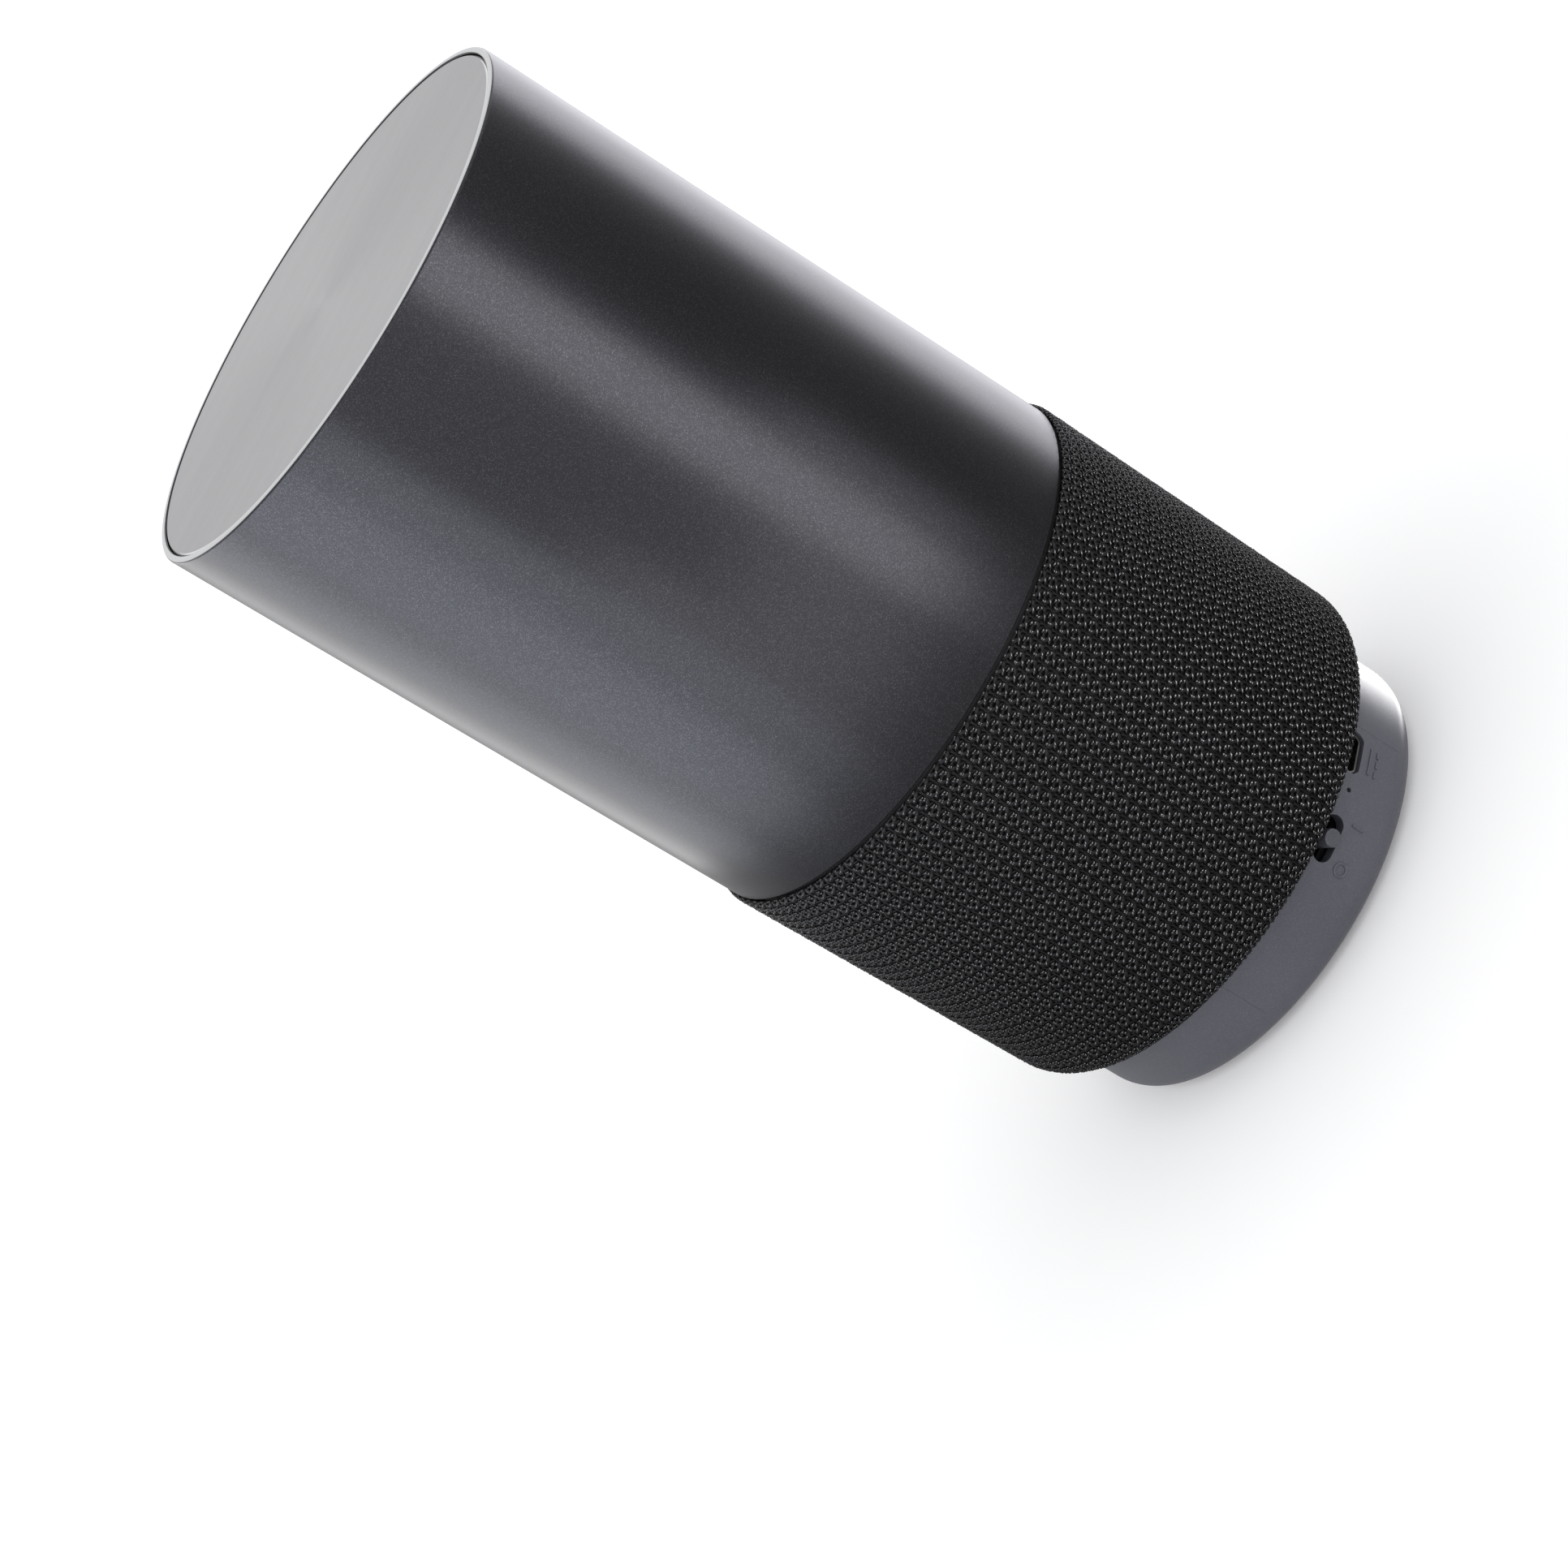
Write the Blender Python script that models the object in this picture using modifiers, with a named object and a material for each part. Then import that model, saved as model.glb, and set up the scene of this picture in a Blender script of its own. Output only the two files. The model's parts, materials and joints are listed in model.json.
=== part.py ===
"""A cylindrical portable bluetooth speaker, standing on its base.

The origin is the centre of the foot's underside and +Z is up. Lengths are in millimetres in the
constants and outlines, and every helper turns them into metres with MM. The power switch faces -Y.
"""

import math

import bmesh
import bpy
from mathutils import Matrix

MM = 0.001
GAP = 0.3  # clearance between faces that touch on the real object

# Heights of the main breaks, from the underside of the foot
BASE_BOTTOM = 0.6
SLEEVE_BOTTOM = 14.6
DECK_TOP = 19.0
SHELL_BOTTOM = 78.5
TOP = 183.8

# Outer skins
SHELL_RADIUS = 45.0
SHELL_WALL = 1.1
SLEEVE_RADIUS_TOP = 45.6
SLEEVE_RADIUS_LOW = 44.8
SLEEVE_THICKNESS = 0.9
SLEEVE_CORNER = 6.5
BASE_RADIUS = 39.1
BASE_WALL = 2.2
BASE_CORNER = 4.5
DISC_RADIUS = SHELL_RADIUS - SHELL_WALL - GAP
DISC_THICKNESS = 1.5
DISC_BEVEL = 0.2

# Connector panel on the base: angles are degrees about +Z from +X
SWITCH_ANGLE = -90.0
LIGHT_ANGLE = -77.0
PORT_ANGLE = -66.9
SWITCH_Z = 13.0
SLOT_LENGTH = 8.1
SLOT_HEIGHT = 3.4
KNOB_RADIUS = 1.5
KNOB_PROUD = 1.4
PIN_HOLE_RADIUS = 0.4
PIN_HOLE_Z = 12.7
PORT_Z = 13.45
PORT_WIDTH = 7.9
PORT_HEIGHT = 3.1
PORT_CHAMFER = 0.9

# Circuit board in the base
BOARD_TOP = 11.9
BOARD_THICKNESS = 1.6
BOARD_RADIUS = 35.9
BOARD_SCREW_RADIUS = 26.0
BOARD_SCREW_ANGLES = (0.0, 120.0, 240.0)

# Bottom plate and foot
PLATE_RADIUS = 33.9
PLATE_TOP = 3.4
FOOT_INNER = 19.0
FOOT_OUTER = 27.5
FOOT_TOP = 1.9
PLATE_SCREW_RADIUS = 31.0
PLATE_SCREW_ANGLES = (0.0, 90.0, 180.0, 270.0)

# Cage under the sleeve
CAGE_TOP = 77.0
CAGE_FLANGE_TOP = 21.3
CAGE_FLANGE_INNER = 31.5
CAGE_COLUMNS = 12
CAGE_BORE = 39.9
CAGE_ROWS = ((25.0, 47.5), (50.5, 73.0))
CAGE_SCREW_RADIUS = 35.0
CAGE_SCREW_ANGLES = (45.0, 135.0, 225.0, 315.0)

# Speaker chamber and the driver, which faces down
CHAMBER_TOP = 108.0
CHAMBER_RADIUS = 38.5
CHAMBER_WALL = 2.0
CHAMBER_FLANGE_RADIUS = 43.5
CHAMBER_MOUTH = 28.0
CHAMBER_FLANGE_THICKNESS = 2.3
DRIVER_FRONT = 74.6
DRIVER_SCREW_RADIUS = 32.5
DRIVER_SCREW_ANGLES = (45.0, 135.0, 225.0, 315.0)
BASKET_RADIUS = 34.5
POLE_RADIUS = 7.6
COIL_INNER = 8.05
COIL_OUTER = 8.75
FRONT_PLATE_BORE = 9.2

# Battery
CELL_RADIUS = 9.2
CELL_LENGTH = 65.0
CELL_OFFSET = 10.4
HOLDER_POST_RADIUS = 33.0
HOLDER_POST_ANGLES = (30.0, 150.0, 270.0)
POST_TOP = 179.1

# Fasteners and leads
PILOT_RADIUS = 1.15
SHANK_RADIUS = 0.9
HEAD_RADIUS = 1.75
HEAD_HEIGHT = 1.2
LEAD_RADIUS = 0.8
LEAD_OFFSET = 1.2
LEAD_ANGLE = 180.0
LEAD_HOLE_RADIUS = 34.0  # distance of the lead hole from the axis

# Facets of round pieces
FINE = 48
MEDIUM = 24
COARSE = 20
TINY = 8


for old in list(bpy.data.objects):
    bpy.data.objects.remove(old, do_unlink=True)

PARTS = bpy.data.collections.new("portable_speaker")
CUTTERS = bpy.data.collections.new("cutters")
for collection in (PARTS, CUTTERS):
    bpy.context.scene.collection.children.link(collection)


# ---- materials


def finish(name, colour, roughness, metallic=0.0):
    """A Principled material of one colour."""
    made = bpy.data.materials.new(name)
    made.use_nodes = True
    shader = made.node_tree.nodes["Principled BSDF"]
    shader.inputs["Base Color"].default_value = (*colour, 1.0)
    shader.inputs["Roughness"].default_value = roughness
    shader.inputs["Metallic"].default_value = metallic
    made.diffuse_color = (*colour, 1.0)
    return made


SHELL_PAINT = finish("shell_paint", (0.055, 0.058, 0.066), 0.42, 0.6)
DISC_METAL = finish("disc_metal", (0.46, 0.46, 0.48), 0.4, 0.7)
KNIT = finish("knit", (0.012, 0.012, 0.014), 0.75)
BASE_PLASTIC = finish("base_plastic", (0.105, 0.11, 0.12), 0.5)
BLACK_PLASTIC = finish("black_plastic", (0.02, 0.02, 0.022), 0.55)
WHITE_PLASTIC = finish("white_plastic", (0.75, 0.74, 0.7), 0.45)
STEEL = finish("steel", (0.5, 0.5, 0.51), 0.35, 1.0)
BRASS = finish("contact_brass", (0.7, 0.55, 0.3), 0.35, 1.0)
FERRITE = finish("ferrite", (0.035, 0.035, 0.037), 0.6)
COPPER = finish("copper_winding", (0.62, 0.27, 0.13), 0.4, 1.0)
PAPER = finish("cone_paper", (0.03, 0.03, 0.032), 0.85)
RUBBER = finish("rubber", (0.018, 0.018, 0.019), 0.7)
FOAM = finish("gasket_foam", (0.03, 0.03, 0.03), 0.95)
SPIDER_CLOTH = finish("spider_cloth", (0.5, 0.32, 0.1), 0.85)
SOLDER_MASK = finish("solder_mask", (0.012, 0.013, 0.014), 0.35)
CHIP = finish("chip_epoxy", (0.02, 0.02, 0.022), 0.5)
CELL_WRAP = finish("cell_wrap", (0.03, 0.12, 0.3), 0.35)
SMOKED = finish("smoked_plastic", (0.03, 0.03, 0.033), 0.15)
RED_LEAD = finish("red_lead", (0.45, 0.02, 0.02), 0.45)
GREY_LEAD = finish("grey_lead", (0.16, 0.16, 0.17), 0.45)


# ---- shapes


def place(angle=0.0, radius=0.0, z=0.0):
    """Turned by an angle about the axis, then out by a radius: local +X points outwards."""
    turn = Matrix.Rotation(math.radians(angle), 4, "Z")
    return turn @ Matrix.Translation((radius * MM, 0.0, z * MM))


def arc(centre, radius, start, end, points):
    """Points along a circle in an outline, from one angle to another, in degrees."""
    angles = (start + (end - start) * i / (points - 1) for i in range(points))
    return [
        (centre[0] + radius * math.cos(math.radians(a)), centre[1] + radius * math.sin(math.radians(a)))
        for a in angles
    ]


def shade(mesh):
    mesh.shade_smooth()
    mesh.set_sharp_from_angle(angle=math.radians(32.0))


def add(name, mesh, look, where=None):
    piece = bpy.data.objects.new(name, mesh)
    piece.matrix_world = where or Matrix()
    if look:
        mesh.materials.clear()
        mesh.materials.append(look)
        PARTS.objects.link(piece)
    else:
        CUTTERS.objects.link(piece)
        piece.hide_render = True
        piece.display_type = "WIRE"
    return piece


def settle(piece):
    """Turns the piece's modifiers into its mesh, so that its shading and later cuts follow them."""
    bpy.context.view_layer.update()
    graph = bpy.context.evaluated_depsgraph_get()
    mesh = bpy.data.meshes.new_from_object(piece.evaluated_get(graph))
    piece.modifiers.clear()
    piece.data = mesh
    mesh.name = piece.name
    shade(mesh)
    return piece


def spun(piece, steps):
    turn = piece.modifiers.new("turned", "SCREW")
    turn.steps = steps
    turn.render_steps = steps
    turn.use_merge_vertices = True
    turn.merge_threshold = 0.00001
    return turn


def line_mesh(name, points, closed):
    mesh = bpy.data.meshes.new(name)
    bm = bmesh.new()
    corners = [bm.verts.new((r * MM, 0.0, z * MM)) for r, z in points]
    ends = corners + corners[:1] if closed else corners
    for a, b in zip(ends, ends[1:]):
        bm.edges.new((a, b))
    bm.to_mesh(mesh)
    bm.free()
    return mesh


def turned(name, outline, look, steps=MEDIUM):
    """A solid of revolution from an outline of (radius, z), which may start and end on the axis."""
    solid = outline[0][0] == 0.0 and outline[-1][0] == 0.0
    area = sum(a[0] * b[1] - b[0] * a[1] for a, b in zip(outline, outline[1:] + outline[:1]))
    points = outline if area < 0.0 else outline[::-1]
    piece = add(name, line_mesh(name, points, not solid), look)
    spun(piece, steps)
    return settle(piece)


def turned_sheet(name, line, thickness, look, steps=COARSE):
    """A thin shell of revolution around a line of (radius, z) points."""
    piece = add(name, line_mesh(name, line, False), look)
    spun(piece, steps)
    wall = piece.modifiers.new("wall", "SOLIDIFY")
    wall.thickness = thickness * MM
    wall.offset = 0.0
    wall.use_even_offset = True
    settle(piece)
    bm = bmesh.new()
    bm.from_mesh(piece.data)
    bmesh.ops.recalc_face_normals(bm, faces=bm.faces)
    bm.to_mesh(piece.data)
    bm.free()
    return piece


def blocks(name, look, sizes_and_places):
    """One mesh of boxes, each (size, matrix) with the size along the matrix's own axes."""
    mesh = bpy.data.meshes.new(name)
    bm = bmesh.new()
    for size, where in sizes_and_places:
        scale = Matrix.Diagonal((size[0] * MM, size[1] * MM, size[2] * MM, 1.0))
        bmesh.ops.create_cube(bm, size=1.0, matrix=where @ scale)
    bm.to_mesh(mesh)
    bm.free()
    return add(name, mesh, look)


def rods(name, look, radius, low, high, places, steps=TINY):
    """One mesh of upright cylinders between two heights, one at each matrix."""
    mesh = bpy.data.meshes.new(name)
    bm = bmesh.new()
    middle = Matrix.Translation((0.0, 0.0, (low + high) / 2 * MM))
    for where in places:
        bmesh.ops.create_cone(
            bm,
            cap_ends=True,
            segments=steps,
            radius1=radius * MM,
            radius2=radius * MM,
            depth=(high - low) * MM,
            matrix=where @ middle,
        )
    bm.to_mesh(mesh)
    bm.free()
    shade(mesh)
    return add(name, mesh, look)


def prism(name, look, outline, depth, where):
    """A flat outline of (y, z) points pushed out to a depth along the matrix's X, centred on it."""
    curve = bpy.data.curves.new(name, "CURVE")
    curve.dimensions = "2D"
    curve.fill_mode = "BOTH"
    curve.extrude = depth / 2 * MM
    run = curve.splines.new("POLY")
    run.points.add(len(outline) - 1)
    for point, (y, z) in zip(run.points, outline):
        point.co = (y * MM, z * MM, 0.0, 1.0)
    run.use_cyclic_u = True
    drawn = bpy.data.objects.new(name, curve)
    CUTTERS.objects.link(drawn)
    bpy.context.view_layer.update()
    mesh = bpy.data.meshes.new_from_object(drawn.evaluated_get(bpy.context.evaluated_depsgraph_get()))
    bpy.data.objects.remove(drawn)
    bm = bmesh.new()
    bm.from_mesh(mesh)
    bmesh.ops.remove_doubles(bm, verts=bm.verts, dist=0.000001)
    # The curve's x and y become the piece's y and z, and its thickness runs along x.
    bm.transform(Matrix(((0, 0, 1, 0), (1, 0, 0, 0), (0, 1, 0, 0), (0, 0, 0, 1))))
    bmesh.ops.recalc_face_normals(bm, faces=bm.faces)
    bm.to_mesh(mesh)
    bm.free()
    return add(name, mesh, look, where)


def stadium(length, height, points=7):
    """A slot with round ends, as (y, z) points."""
    end = (length - height) / 2
    right = arc((end, 0.0), height / 2, -90.0, 90.0, points)
    return right + arc((-end, 0.0), height / 2, 90.0, 270.0, points)


def port_outline(width, height, chamfer):
    """The outline of a micro connector: square above, with its two lower corners cut off."""
    w, h = width / 2, height / 2
    return [(-w, h), (-w, chamfer - h), (chamfer - w, -h), (w - chamfer, -h), (w, chamfer - h), (w, h)]


def combine(piece, other, operation):
    step = piece.modifiers.new(other.name, "BOOLEAN")
    step.operation = operation
    step.object = other
    step.solver = "EXACT"
    return settle(piece)


def cut(piece, *cutters):
    for cutter in cutters:
        combine(piece, cutter, "DIFFERENCE")
    return piece


def join(piece, *others):
    for other in others:
        combine(piece, other, "UNION")
    return piece


def lead(name, look, route):
    """A round lead along a smooth curve through the route's points, closed at both ends."""
    fine = []
    padded = [route[0]] + route + [route[-1]]
    for p0, p1, p2, p3 in zip(padded, padded[1:], padded[2:], padded[3:]):
        for i in range(2):
            t = i / 2
            fine.append(
                tuple(
                    0.5
                    * (
                        2 * b
                        + (c - a) * t
                        + (2 * a - 5 * b + 4 * c - d) * t**2
                        + (3 * b - a - 3 * c + d) * t**3
                    )
                    for a, b, c, d in zip(p0, p1, p2, p3)
                )
            )
    fine.append(route[-1])
    curve = bpy.data.curves.new(name, "CURVE")
    curve.dimensions = "3D"
    curve.bevel_depth = LEAD_RADIUS * MM
    curve.bevel_resolution = 2
    curve.use_fill_caps = True
    run = curve.splines.new("POLY")
    run.points.add(len(fine) - 1)
    for point, (x, y, z) in zip(run.points, fine):
        point.co = (x * MM, y * MM, z * MM, 1.0)
    piece = bpy.data.objects.new(name, curve)
    curve.materials.append(look)
    PARTS.objects.link(piece)
    return piece


def screws(name, length, radius, z, angles, up=True):
    """Cross-head screws on a circle, one object each. z is the head's seat; up sends the shanks to +Z."""
    pattern = turned(
        f"{name}_1",
        [
            (0.0, -HEAD_HEIGHT),
            (HEAD_RADIUS, -HEAD_HEIGHT),
            (HEAD_RADIUS, 0.0),
            (SHANK_RADIUS, 0.0),
            (SHANK_RADIUS, length),
            (0.0, length),
        ],
        STEEL,
        TINY,
    )
    depth = Matrix.Translation((0.0, 0.0, (0.35 - HEAD_HEIGHT) * MM))
    arms = [((2.0, 0.45, 0.9), depth), ((0.45, 2.0, 0.9), depth)]
    for number, arm in enumerate(arms, 1):
        cut(pattern, blocks(f"{name}_recess_{number}", None, [arm]))
    flip = Matrix() if up else Matrix.Rotation(math.pi, 4, "X")
    for number, angle in enumerate(angles, 1):
        piece = pattern if number == 1 else add(f"{name}_{number}", pattern.data, STEEL)
        piece.matrix_world = place(angle, radius, z) @ flip


# ---- outer skins


def upper_shell():
    lip = SHELL_WALL / 2
    inner = SHELL_RADIUS - SHELL_WALL
    rim = arc((inner + lip, TOP - lip), lip, 180.0, 0.0, 5)
    foot = [(SHELL_RADIUS, SHELL_BOTTOM + 0.2), (SHELL_RADIUS - 0.2, SHELL_BOTTOM), (inner, SHELL_BOTTOM)]
    turned("upper_shell", rim + foot, SHELL_PAINT, FINE)


def top_disc():
    face = TOP - 0.1
    under = face - DISC_THICKNESS
    outline = [
        (0.0, face),
        (DISC_RADIUS - DISC_BEVEL, face),
        (DISC_RADIUS, face - DISC_BEVEL),
        (DISC_RADIUS, under),
        (0.0, under),
    ]
    turned("top_disc", outline, DISC_METAL, FINE)
    return under


def top_carrier(disc_underside):
    """A plate with a skirt inside the shell. Its screws go down into the battery holder's posts."""
    top = disc_underside - GAP
    seat = top - 1.5
    radius = SHELL_RADIUS - SHELL_WALL - GAP
    outline = [
        (0.0, top),
        (radius, top),
        (radius, top - 10.0),
        (radius - 2.0, top - 10.0),
        (radius - 2.0, POST_TOP + GAP),
        (0.0, POST_TOP + GAP),
    ]
    plate = turned("top_carrier", outline, BLACK_PLASTIC)
    posts = [place(angle, HOLDER_POST_RADIUS) for angle in HOLDER_POST_ANGLES]
    cut(
        plate,
        rods("carrier_screw_holes", None, PILOT_RADIUS + 0.2, 170.0, TOP, posts),
        rods("carrier_head_pockets", None, HEAD_RADIUS + GAP, seat, TOP, posts),
    )
    screws("carrier_screw", 8.0, HOLDER_POST_RADIUS, seat + 0.15, HOLDER_POST_ANGLES, up=False)


def sleeve_corner(radius, bore=BASE_RADIUS + GAP):
    """The sleeve's lower corner at a distance from the centre of its bend, ending at a bore."""
    centre = (SLEEVE_RADIUS_LOW - SLEEVE_CORNER, SLEEVE_BOTTOM + SLEEVE_CORNER)
    end = -math.degrees(math.acos((bore - centre[0]) / radius))
    return arc(centre, radius, 0.0, end, 4)


def fabric_sleeve():
    top = SHELL_BOTTOM - GAP
    inside = SLEEVE_CORNER - SLEEVE_THICKNESS
    outline = [(SLEEVE_RADIUS_TOP - 0.6, top), (SLEEVE_RADIUS_TOP, top - 0.6)]
    outline += sleeve_corner(SLEEVE_CORNER)
    outline += sleeve_corner(inside)[::-1]
    outline += [(SLEEVE_RADIUS_TOP - SLEEVE_THICKNESS, top)]
    turned("fabric_sleeve", outline, KNIT, FINE)


def grille_frame():
    """The cage that holds the sleeve: two rings and upright ribs, with a flange that the base screws to."""
    bend = SLEEVE_CORNER - SLEEVE_THICKNESS - GAP
    outer_top = SLEEVE_RADIUS_TOP - SLEEVE_THICKNESS - GAP
    outline = [(outer_top, CAGE_TOP)]
    outline += sleeve_corner(bend, CAGE_BORE)
    outline += [
        (CAGE_BORE, DECK_TOP + GAP),
        (CAGE_FLANGE_INNER, DECK_TOP + GAP),
        (CAGE_FLANGE_INNER, CAGE_FLANGE_TOP),
        (42.0, CAGE_FLANGE_TOP),
        (42.8, CAGE_TOP - 3.0),
        (41.5, CAGE_TOP - 2.0),
        (41.5, CAGE_TOP),
    ]
    frame = turned("grille_frame", outline, BLACK_PLASTIC, 2 * CAGE_COLUMNS)
    pitch = 360.0 / CAGE_COLUMNS
    width = 2 * math.pi * 43.0 / CAGE_COLUMNS * 0.72
    windows = [
        ((8.0, width, high - low), place(pitch * (column + 0.5), 43.5, (low + high) / 2))
        for column in range(CAGE_COLUMNS)
        for low, high in CAGE_ROWS
    ]
    bosses = [place(angle, CAGE_SCREW_RADIUS) for angle in CAGE_SCREW_ANGLES]
    join(frame, rods("cage_bosses", None, 2.6, DECK_TOP + GAP + 0.4, 27.0, bosses))
    cut(
        frame,
        blocks("cage_windows", None, windows),
        rods("cage_pilots", None, PILOT_RADIUS, DECK_TOP - 1.0, 25.5, bosses),
        rods("cage_lead_hole", None, 2.7, DECK_TOP - 1.0, 24.0, [place(LEAD_ANGLE, LEAD_HOLE_RADIUS)]),
    )


def junction_ring():
    """Centres the shell on the chamber's flange."""
    bottom = CAGE_TOP + GAP + CHAMBER_FLANGE_THICKNESS + GAP
    outer = SHELL_RADIUS - SHELL_WALL - GAP
    outline = [(outer, bottom + 6.0), (outer, bottom), (outer - 2.0, bottom), (outer - 2.0, bottom + 6.0)]
    turned("junction_ring", outline, BLACK_PLASTIC)


# ---- base


def base_housing():
    inner = BASE_RADIUS - BASE_WALL
    corner = arc((BASE_RADIUS - BASE_CORNER, BASE_BOTTOM + BASE_CORNER), BASE_CORNER, 0.0, -90.0, 5)
    ledge = PLATE_TOP + GAP
    outline = [(0.0, DECK_TOP), (BASE_RADIUS, DECK_TOP)] + corner
    outline += [
        (PLATE_RADIUS + GAP, BASE_BOTTOM),
        (PLATE_RADIUS + GAP, ledge),
        (PLATE_RADIUS - 1.5, ledge),
        (inner, ledge + 3.5),
        (inner, DECK_TOP - BASE_WALL),
        (0.0, DECK_TOP - BASE_WALL),
    ]
    housing = turned("base_housing", outline, BASE_PLASTIC, FINE)
    board_bosses = [place(angle, BOARD_SCREW_RADIUS) for angle in BOARD_SCREW_ANGLES]
    plate_bosses = [place(angle, PLATE_SCREW_RADIUS) for angle in PLATE_SCREW_ANGLES]
    plate_ribs = [((4.5, 4.0, 5.0), place(angle, 35.2, ledge + 3.0)) for angle in PLATE_SCREW_ANGLES]
    join(
        housing,
        rods("board_bosses", None, 2.6, BOARD_TOP + GAP, DECK_TOP - 1.0, board_bosses),
        rods("plate_bosses", None, 2.9, ledge, 9.2, plate_bosses),
        blocks("plate_boss_ribs", None, plate_ribs),
    )
    cut(
        housing,
        rods("board_pilots", None, PILOT_RADIUS, BOARD_TOP - 1.0, DECK_TOP - 1.2, board_bosses),
        rods("plate_pilots", None, PILOT_RADIUS, ledge - 1.0, 8.4, plate_bosses),
        rods(
            "cage_screw_holes",
            None,
            PILOT_RADIUS + 0.2,
            15.0,
            DECK_TOP + 1.0,
            [place(angle, CAGE_SCREW_RADIUS) for angle in CAGE_SCREW_ANGLES],
        ),
        rods("deck_lead_hole", None, 2.7, 15.0, DECK_TOP + 1.0, [place(LEAD_ANGLE, LEAD_HOLE_RADIUS)]),
        prism(
            "port_opening",
            None,
            port_outline(PORT_WIDTH, PORT_HEIGHT, PORT_CHAMFER),
            6.0,
            place(PORT_ANGLE, BASE_RADIUS, PORT_Z),
        ),
        prism(
            "switch_slot",
            None,
            stadium(SLOT_LENGTH, SLOT_HEIGHT),
            8.0,
            place(SWITCH_ANGLE, BASE_RADIUS, SWITCH_Z),
        ),
        prism(
            "pin_hole",
            None,
            arc((0.0, 0.0), PIN_HOLE_RADIUS, 0.0, 330.0, 12),
            8.0,
            place(LIGHT_ANGLE, BASE_RADIUS, PIN_HOLE_Z),
        ),
    )
    screws("frame_screw", 7.0, CAGE_SCREW_RADIUS, DECK_TOP - BASE_WALL - 0.15, CAGE_SCREW_ANGLES)


def bottom_plate():
    groove = [(FOOT_OUTER + GAP, BASE_BOTTOM), (FOOT_OUTER + GAP, FOOT_TOP + GAP)]
    groove += [(FOOT_INNER - GAP, FOOT_TOP + GAP), (FOOT_INNER - GAP, BASE_BOTTOM)]
    outline = [(0.0, PLATE_TOP), (PLATE_RADIUS, PLATE_TOP), (PLATE_RADIUS, BASE_BOTTOM)]
    plate = turned("bottom_plate", outline + groove + [(0.0, BASE_BOTTOM)], BASE_PLASTIC)
    holes = [place(angle, PLATE_SCREW_RADIUS) for angle in PLATE_SCREW_ANGLES]
    seat = BASE_BOTTOM + HEAD_HEIGHT + 0.2
    cut(
        plate,
        rods("plate_screw_holes", None, PILOT_RADIUS + 0.2, 0.0, PLATE_TOP + 1.0, holes),
        rods("plate_head_pockets", None, HEAD_RADIUS + GAP, 0.0, seat, holes),
    )
    screws("bottom_screw", 6.0, PLATE_SCREW_RADIUS, seat - 0.1, PLATE_SCREW_ANGLES)


def rubber_foot():
    round_over = 0.4
    outline = [
        (FOOT_INNER, FOOT_TOP),
        (FOOT_OUTER, FOOT_TOP),
        (FOOT_OUTER, round_over),
        (FOOT_OUTER - round_over, 0.0),
        (FOOT_INNER, 0.0),
    ]
    turned("rubber_foot", outline, RUBBER)


# ---- board, connector and switch


def main_board():
    bottom = BOARD_TOP - BOARD_THICKNESS
    board = rods("main_board", SOLDER_MASK, BOARD_RADIUS, bottom, BOARD_TOP, [Matrix()], MEDIUM)
    holes = [place(angle, BOARD_SCREW_RADIUS) for angle in BOARD_SCREW_ANGLES]
    cut(board, rods("board_screw_holes", None, PILOT_RADIUS + 0.2, bottom - 1.0, BOARD_TOP + 1.0, holes))
    screws("board_screw", 5.5, BOARD_SCREW_RADIUS, bottom - 0.15, BOARD_SCREW_ANGLES)


def on_board(name, look, size, x, y, lift=0.2):
    """A boxy component standing on the board."""
    centre = Matrix.Translation((x * MM, y * MM, (BOARD_TOP + lift + size[2] / 2) * MM))
    return blocks(name, look, [(size, centre)])


def board_components():
    on_board("bluetooth_module", STEEL, (16.0, 12.0, 2.0), -6.0, 12.0)
    on_board("amplifier_chip", CHIP, (7.0, 7.0, 1.2), 10.0, 3.0)
    on_board("filter_inductor_1", CHIP, (6.5, 6.5, 3.6), 19.0, 10.0)
    on_board("filter_inductor_2", CHIP, (6.5, 6.5, 3.6), 19.0, -9.0)
    on_board("lead_socket", WHITE_PLASTIC, (5.0, 7.5, 4.0), -26.0, 0.0)
    rods(
        "smoothing_capacitor",
        STEEL,
        3.1,
        BOARD_TOP + 0.2,
        BOARD_TOP + 4.3,
        [Matrix.Translation((8.0 * MM, -9.0 * MM, 0.0))],
        COARSE,
    )


def micro_usb():
    """The receptacle's folded steel shell, open outwards, and the tongue inside it."""
    mouth = BASE_RADIUS - 0.7
    depth = 5.6
    where = place(PORT_ANGLE, mouth - depth / 2, PORT_Z)
    shell = prism("micro_usb_shell", STEEL, port_outline(7.3, 2.5, 0.75), depth, where)
    hollow = place(PORT_ANGLE, mouth - depth / 2 + 0.4, PORT_Z)
    cut(shell, prism("micro_usb_mouth", None, port_outline(6.7, 1.9, 0.6), depth, hollow))
    tongue = place(PORT_ANGLE, mouth - depth / 2, PORT_Z + 0.15)
    blocks("micro_usb_tongue", BRASS, [((3.6, 4.0, 0.6), tongue)])


def indicator():
    """A light-emitting diode on the board and the pipe that carries its light to the pin hole."""
    end = BASE_RADIUS - BASE_WALL - GAP
    pipe_z = BOARD_TOP + 1.2
    prism(
        "light_pipe",
        SMOKED,
        arc((0.0, 0.0), 1.0, 0.0, 337.5, 16),
        5.0,
        place(LIGHT_ANGLE, end - 2.5, pipe_z),
    )
    blocks("charge_led", WHITE_PLASTIC, [((1.2, 2.0, 1.6), place(LIGHT_ANGLE, end - 6.0, BOARD_TOP + 1.0))])


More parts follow.
